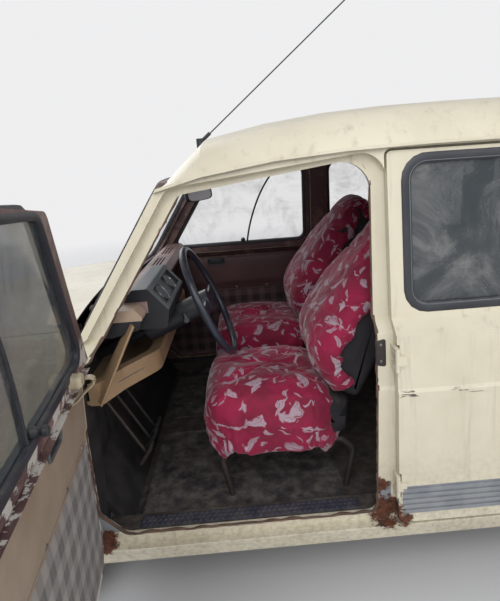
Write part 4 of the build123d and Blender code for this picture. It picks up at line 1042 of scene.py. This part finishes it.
def settle(piece, facts):
    # a short cloth simulation: the slack cover, held at its hem, buckles into folds under light
    # pressure, and each point's move along its normal is cut to the reach
    mesh = piece.data
    count = len(mesh.vertices)
    start, normals = np.empty(count * 3), np.empty(count * 3)
    mesh.vertices.foreach_get("co", start)
    mesh.vertices.foreach_get("normal", normals)
    work = bmesh.new()
    work.from_mesh(mesh)
    hem = [v.index for v in work.verts if v.is_boundary]
    work.free()
    held = piece.vertex_groups.new(name="held")
    held.add(hem, 1.0, "REPLACE")
    cloth = piece.modifiers.new("cloth", "CLOTH")
    rules = cloth.settings
    rules.quality = 4
    rules.mass = 0.15
    rules.tension_stiffness = rules.compression_stiffness = 20
    rules.shear_stiffness = 8
    rules.bending_stiffness = 0.12
    rules.vertex_group_mass = "held"
    rules.shrink_min = rules.shrink_max = -facts["slack"]
    rules.use_pressure = True
    rules.uniform_pressure_force = facts["pressure"]
    rules.effector_weights.gravity = 0
    cloth.point_cache.frame_start, cloth.point_cache.frame_end = 1, facts["frames"]
    for frameNumber in range(1, facts["frames"] + 1):
        bpy.context.scene.frame_set(frameNumber)
    shaped = piece.evaluated_get(bpy.context.evaluated_depsgraph_get())
    end = np.empty(count * 3)
    shaped.data.vertices.foreach_get("co", end)
    start, normals, end = start.reshape(-1, 3), normals.reshape(-1, 3), end.reshape(-1, 3)
    move = end - start
    outwards = np.sum(move * normals, 1, keepdims=True)
    along = move - outwards * normals
    far = np.linalg.norm(along, axis=1, keepdims=True)
    along *= np.minimum(1, 0.006 / np.maximum(far, 1e-9))
    place = start + along + normals * np.clip(outwards, *facts["reach"])
    piece.modifiers.remove(cloth)
    piece.vertex_groups.clear()
    mesh.vertices.foreach_set("co", place.ravel())
    mesh.update()
    bpy.context.scene.frame_set(1)


def makeSeats():
    facts = seatFacts
    for hand, word in ((1, "left"), (-1, "right")):
        shift = (0, hand * facts["y"], 0)
        half = facts["coreHalf"]
        cushionSide, backSide = (rounded(*facts[part], step=0.014) for part in ("cushion", "back"))
        cushionCore = carriedAcross(cushionSide, -half, half, *facts["cushionCore"])
        backCore = carriedAcross(backSide, -half, half, *facts["backCore"])
        backCore[..., 1] *= np.interp(backCore[..., 2], *facts["narrowing"])
        cores = [cushionCore + shift, backCore + shift]
        core = makePiece("seat_body_" + word, cores, darkCloth, "body")
        seed = 3 if hand > 0 else 8
        cap, hood = cushionCover(seed) + shift, backCover(seed + 20) + shift
        cushion = makePiece("cushion_cover_" + word, [cap], seatPrint, "body")
        back = makePiece("back_cover_" + word, [hood], seatPrint, "body", around=False)
        settle(cushion, facts)
        settle(back, facts)
        print("covers settled:", word)
        for piece, fill in ((core, 0.9), (cushion, 0.7), (back, 0.7)):
            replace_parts(piece, "front_seat_" + word)
        thick = back.modifiers.new("thick", "SOLIDIFY")
        thick.thickness = 0.0025
        thick.offset = -1
        for piece in (cushion, back):
            smooth = piece.modifiers.new("smooth", "SUBSURF")
            smooth.levels = smooth.render_levels = 1
    makeRearSeat()


rearSeatFacts = {
    "cushion": ([(-0.360, 0.420), (-0.345, 0.560), (-0.380, 0.612), (-0.800, 0.596), (-0.820, 0.424)],
                [0.02, 0.04, 0.05, 0.03, 0.01]),
    "back": ([(-0.765, 0.585), (-0.925, 0.990), (-0.955, 1.040), (-1.010, 1.040), (-1.040, 0.990),
              (-0.885, 0.560)],
             [0.04, 0.06, 0.02, 0.02, 0.06, 0.05]),
    "half": 0.518,
    "channels": 8,
}


def makeRearSeat():
    facts = rearSeatFacts
    for part in ("cushion", "back"):
        outline = rounded(*facts[part], step=0.016)
        grid = carriedAcross(outline, -facts["half"], facts["half"], 0.04, 0.008, 0.008, facts["channels"])
        piece = makePiece("rear_" + part, [grid], rearCloth, "body")
        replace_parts(piece, "rear_seat")


# Cabin and outside trim

trimFacts = {
    "apertures": {
        "front": ([(0.052, 0.322), (0.815, 0.322), (0.884, 0.396), (0.884, 0.862), (0.848, 0.880),
                   (0.532, 1.361), (0.034, 1.387)],
                  [0.03, 0.03, 0.04, 0.012, 0.012, 0.03, 0.08]),
        "rear": ([(-0.048, 0.322), (-0.720, 0.322), (-0.778, 0.560), (-0.778, 1.375), (-0.048, 1.385)],
                 [0.03, 0.06, 0.06, 0.06, 0.06]),
    },
    "seal": (0.0055, 0.004),  # half width and half height of the seal's section
    "sealDepth": 0.035,
    "striker": (0.034, 0.838),
    "floorTop": 0.2803,
    "mats": [("front_left", 0.12, 0.80, 0.06, 0.585), ("front_right", 0.12, 0.80, -0.585, -0.06)],
    "sillMat": (0.10, 0.78, 0.622, 0.676, 0.3225),  # x and y reach, and height of the sill
    "nuts": 3,
    "nutCircle": 0.072,
    "track": {"front": 1.280, "rear": 1.244},
    "lamp": (0.412, 0.620, 0.081),
    "fuelCap": (-1.36, 0.800),
    "mirror": (0.556, 0.0, 1.275, 27),  # middle, and degrees turned to the driver
    "shelfEnd": [(0.858, 0.636, 0.738), (0.825, 0.632, 0.800), (0.782, 0.618, 0.880), (0.744, 0.598, 0.952)],
}


def makeSeals():
    # a ragged tube round the upper part of each doorway
    for end, (points, radii) in trimFacts["apertures"].items():
        outline = rounded(points, radii, 0.008)
        rag = ripples(np.stack([outline[:, 0], 0 * outline[:, 0], outline[:, 1]], 1), 4, 0.05)
        thick, high = trimFacts["seal"]
        for hand, word in ((1, "left"), (-1, "right")):
            path = onSide(outline[:, 0], outline[:, 1], trimFacts["sealDepth"] + rag * 0.0012)
            tube = carry(ring(thick, high, 10, 3), path, (0, 1, 0), True)
            middle = tube.mean(1, keepdims=True)
            tube = middle + (tube - middle) * (1 + 0.28 * rag)[:, None, None]
            name = "doorway_seal_%s_%s" % (end, word)
            makePiece(name, [tube], sealBrown, "body", along=True, hand=hand)


def makeStrikers():
    # flat black lock plate in the pillar's rebate, thin enough for the shut door, with two screws
    x, z = trimFacts["striker"]
    corners = [(x - 0.014, z - 0.042), (x + 0.014, z - 0.036), (x + 0.014, z + 0.036), (x - 0.014, z + 0.042)]
    outline = rounded(corners, 0.006, 0.004)
    for hand, word in ((1, "left"), (-1, "right")):
        plate = padOn(outline, lambda a, b, out: onSide(a, b, 0.031 - out), 0.0022)
        screws = []
        for up in (-0.024, 0.024):
            head = [(0.0018, 0.0003), (0.0030, 0.0003), (0.0032, 0.0030), (0.0022, 0.0045), (0.0015, 0.0045)]
            screws.append(turned(head, onSide(x, z + up, 0.031), (0, 1, 0), 12))
        makePiece("striker_" + word, [plate], chassisBlack, "body", hand=hand)
        makePiece("striker_screws_" + word, screws, bareSteel, "body", hand=hand)


def makeMats():
    # rubber mats: a raised edge round a field that dips and waves with the floor
    top = trimFacts["floorTop"]
    for word, x0, x1, y0, y1 in trimFacts["mats"]:
        outline = rounded([(x0, y0), (x1, y0), (x1, y1), (x0, y1)], 0.04, 0.012)
        share = np.array([0, 0.2, 0.4, 0.6, 0.75, 0.88, 0.95, 0.97, 0.985, 1.0])[:, None]
        middle = outline.mean(0)
        x = middle[0] + (outline[None, :, 0] - middle[0]) * share
        y = middle[1] + (outline[None, :, 1] - middle[1]) * share
        height = 0.0035 + 0.0035 * np.exp(-((share - 0.975) / 0.012) ** 2)
        points = np.stack([x, y, top + height + 0 * x], -1)
        points[..., 2] += 0.0015 * ripples(points, 6, 0.16, (1, 1, 0)) * (1 - share ** 6)
        under = np.stack([x[::-3], y[::-3], np.full_like(x[::-3], top + 0.0003)], -1)
        makePiece("mat_" + word, [np.concatenate([points, under])], floorMat, "body")


def makeSillMats():
    # studded strips along the front sills: rows of round studs on a thin sheet
    x0, x1, y0, y1, z = trimFacts["sillMat"]
    pitch, radius, rise = 0.017, 0.0052, 0.0022
    x, y = np.meshgrid(np.arange(x0, x1, 0.0017), np.arange(y0, y1, 0.0017), indexing="ij")
    row = np.round((y - y0) / pitch - 0.5)
    off = (row % 2) * 0.5
    dx = (x / pitch - off) - np.round(x / pitch - off)
    dy = (y - y0) / pitch - 0.5 - row
    away = np.hypot(dx, dy) * pitch
    studs = rise * np.clip((radius - away) / 0.0018, 0, 1)
    edge = np.minimum(np.minimum(x - x0, x1 - x), np.minimum(y - y0, y1 - y))
    top = z + 0.0022 * np.clip(edge / 0.003, 0, 1) + studs * (edge > 0.004)
    for hand, word in ((1, "left"), (-1, "right")):
        grid = np.stack([x, y, top], -1)
        makePiece("sill_mat_" + word, [grid], sillMat, "body", around=False, hand=hand)


def makeMirror():
    # driving mirror turned to the driver: rings of a rounded box give the shell, with the glass in its face
    centre, yaw = np.array(trimFacts["mirror"][:3]), np.radians(trimFacts["mirror"][3])
    across, up = np.array((np.sin(yaw), np.cos(yaw), 0)), np.array((0.10, 0, 0.995))
    back = np.cross(across, up)
    back = back * np.sign(back[0])
    flat = ring(0.092, 0.027, 48, 4)

    def rings(levels):
        spread = flat[:, :1] * across + flat[:, 1:] * up
        return np.stack([centre + spread * size + back * deep for deep, size in levels])

    shell = rings([(0.0, 0.0), (0.0, 0.9), (0.0, 0.97), (-0.002, 0.985), (0.0, 1.0), (0.010, 1.0),
                   (0.016, 0.93), (0.019, 0.6), (0.019, 0.0)])
    glass = rings([(-0.0006, 0.0), (-0.0006, 0.9), (0.002, 0.91), (0.002, 0.0)])
    stalk = evenly(np.array([centre + back * 0.016, (0.590, 0, 1.315), (0.625, 0, 1.372)]), 0.01)
    arm = carry(ring(0.006, 0.006, 10), stalk, (0, 1, 0))
    housing = makePiece("mirror_shell", [shell, arm], blackPlastic, "body")
    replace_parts(housing, "interior_mirror")
    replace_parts(makePiece("mirror_face", [glass], mirrorGlass, "body"), "interior_mirror")


def makeShelfEnds():
    # tan trim that sweeps from each end of the shelf's lip up to the end of the metal top
    for hand, word in ((1, "left"), (-1, "right")):
        line = evenly(np.array(trimFacts["shelfEnd"]), 0.008)
        for _ in range(60):
            line[1:-1] = (line[:-2] + line[2:]) / 2
        profile = np.array([(-0.034, 0), (-0.036, 0.004), (-0.030, 0.008),
                            (0.030, 0.008), (0.036, 0.004), (0.034, 0)])
        trim = carry(profile, line, (-0.8, -0.35, 0.3))
        makePiece("shelf_end_" + word, [trim], shelfTan, "body", hand=hand)


def makeShelfRoll():
    # stitching line along the shelf's lip
    edge = evenly(np.array([(0.846, -0.620), (0.800, -0.540), (0.708, -0.400),
                            (0.708, 0.400), (0.800, 0.540), (0.846, 0.620)]), 0.01)
    for _ in range(40):  # corners ease as each inner point moves to the mean of its neighbours
        edge[1:-1] = (edge[:-2] + edge[2:]) / 2
    path = np.stack([edge[:, 0] - 0.001, edge[:, 1], np.full(len(edge), 0.757)], 1)
    stitch = carry(ring(0.0014, 0.0014, 6), path, (-1, 0, 0))
    makePiece("shelf_seam", [stitch], beadGrey, "body")


def makeDials():
    # two round dials sunk in the pod, with bright rings
    aim = (-0.768, 0, 0.640)
    for y in (-0.075, 0.075):
        centre = np.array((0.6772, 0.335 + y, 0.9899))
        rim = [(-0.001, 0.0335), (0.004, 0.0345), (0.006, 0.0325), (0.004, 0.031), (0.0, 0.0305)]
        glass = [(0.0005, 0.0005), (0.0005, 0.012), (0.0005, 0.030), (-0.0005, 0.0305), (-0.0005, 0.0005)]
        word = "right" if y < 0 else "left"
        bezel = turned(rim, centre, aim, 40)
        makePiece("dial_ring_" + word, [bezel], wornChrome, "body", along=True)
        makePiece("dial_face_" + word, [turned(glass, centre, aim, 40)], dialFace, "body")


def makeWheelNuts():
    # domed nuts on each wheel's hub face
    for end in ("front", "rear"):
        x0, z0 = wheelPlaces[end]
        for hand, word in ((1, "left"), (-1, "right")):
            body = "wheel_%s_%s" % (end, word)
            middle = trimFacts["track"][end] / 2
            grids = []
            for k in range(trimFacts["nuts"]):
                angle = 2 * np.pi * k / trimFacts["nuts"] + 0.5
                x = x0 + trimFacts["nutCircle"] * np.cos(angle)
                z = z0 + trimFacts["nutCircle"] * np.sin(angle)
                nut = [(0.0, 0.0005), (0.0, 0.011), (0.008, 0.011), (0.011, 0.0085), (0.019, 0.007),
                       (0.022, 0.004), (0.023, 0.0005)]
                grids.append(turned(nut, (x, middle + 0.031, z), (0, 1, 0), 6))
            makePiece(body + "_nuts", grids, bareSteel, body, hand=hand)


def makeLampRings():
    y, z, radius = trimFacts["lamp"]
    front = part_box("headlamps")[1][0]
    rim = [(-0.024, radius - 0.002), (-0.024, radius + 0.002), (-0.016, radius + 0.0035),
           (-0.009, radius + 0.003), (-0.006, radius), (-0.009, radius - 0.003)]
    rings = [turned(rim, (front, side * y, z), (1, 0, 0), 56) for side in (-1, 1)]
    makePiece("headlamp_rings", rings, wornChrome, "body", along=True)


def makeWipers():
    # two arms from spindles on the scuttle, each with a blade against the glass
    for number, y0 in enumerate((0.40, -0.08)):
        foot = screenAt(y0, 0.952, -0.010)
        tip = screenAt(y0 - 0.30, 1.085, -0.016)
        bow = np.array([foot, (foot + tip) / 2 + (0.006, 0, 0.006), tip])
        arm = carry(ring(0.006, 0.003, 8, 3), evenly(bow, 0.02), (0.835, 0, 0.55))
        y = np.linspace(y0 - 0.46, y0 - 0.10, 24)
        z = 1.085 + (y - (y0 - 0.30)) * -0.20
        blade = carry(ring(0.004, 0.006, 8, 3), screenAt(y, z, -0.0085), (0.835, 0, 0.55))
        cone = [(-0.012, 0.0005), (-0.012, 0.012), (0.006, 0.011), (0.010, 0.006), (0.010, 0.0005)]
        hub = turned(cone, foot, (0.835, 0, 0.55), 16)
        makePiece("wiper_%d" % (number + 1), [arm, blade, hub], chassisBlack, "body")


def makeFuelCap():
    x, z = trimFacts["fuelCap"]
    centre = onSide(x, z, 0.0)
    cap = [(-0.004, 0.0005), (-0.004, 0.030), (0.001, 0.029), (0.003, 0.024), (0.0035, 0.010),
           (0.006, 0.008), (0.006, 0.0005)]
    makePiece("fuel_cap", [turned(cap, centre, (0, 1, 0), 36)], wornChrome, "body", hand=-1)


# Stage

stageFacts = {
    "floorRadius": 60,
    "floorTones": ((0.62, 0.62, 0.62), (0.66, 0.66, 0.66)),
    "background": (0.86, 0.86, 0.87),
    "fade": (3.5, 9.0),  # metres from the middle over which the floor turns into the background
}


def makeStage():
    p = Finish("paleFloor")
    facts = stageFacts
    shade = p.mix(p.noise(2.0, 2), *facts["floorTones"])
    floorLook = p.add("ShaderNodeBsdfPrincipled", {}, {"Base Color": shade, "Roughness": 0.9})
    far = p.place.vector("LENGTH", out="Value").ramp(*facts["fade"])
    plain = p.add("ShaderNodeEmission", {}, {"Color": facts["background"] + (1,)})
    look = p.add("ShaderNodeMixShader", {}, {0: far, 1: floorLook, 2: plain})
    p.add("ShaderNodeOutputMaterial", {}, {"Surface": look})
    bpy.ops.mesh.primitive_circle_add(vertices=96, radius=facts["floorRadius"], fill_type="NGON",
                                      location=(0, 0, 0))
    floor = bpy.context.object
    floor.name = "floor"
    floor.data.materials.append(p.material)
    world = bpy.data.worlds.new("studio")
    bpy.context.scene.world = world
    world.use_nodes = True
    tree = world.node_tree
    tree.nodes.clear()
    path = tree.nodes.new("ShaderNodeLightPath")
    show = tree.nodes.new("ShaderNodeMath")
    show.operation = "MAXIMUM"
    tree.links.new(path.outputs["Is Camera Ray"], show.inputs[0])
    tree.links.new(path.outputs["Is Transmission Ray"], show.inputs[1])
    light = tree.nodes.new("ShaderNodeBackground")
    light.inputs["Color"].default_value = (0.92, 0.94, 1.0, 1)
    light.inputs["Strength"].default_value = lightFacts["sky"]
    plainSky = tree.nodes.new("ShaderNodeBackground")
    plainSky.inputs["Color"].default_value = facts["background"] + (1,)
    mixer = tree.nodes.new("ShaderNodeMixShader")
    out = tree.nodes.new("ShaderNodeOutputWorld")
    tree.links.new(show.outputs[0], mixer.inputs[0])
    tree.links.new(light.outputs[0], mixer.inputs[1])
    tree.links.new(plainSky.outputs[0], mixer.inputs[2])
    tree.links.new(mixer.outputs[0], out.inputs[0])


print("windows")
makeWindows()
print("doors")
makeDoors()
print("seats")
makeSeats()
print("trim")
makeSeals()
makeStrikers()
makeMats()
makeSillMats()
makeShelfRoll()
makeShelfEnds()
makeMirror()
makeDials()
makeWheelNuts()
makeLampRings()
makeWipers()
makeFuelCap()
placeCamera(cameraFacts)
placeLights(lightFacts)
makeStage()
bpy.context.scene.view_settings.view_transform = "Standard"
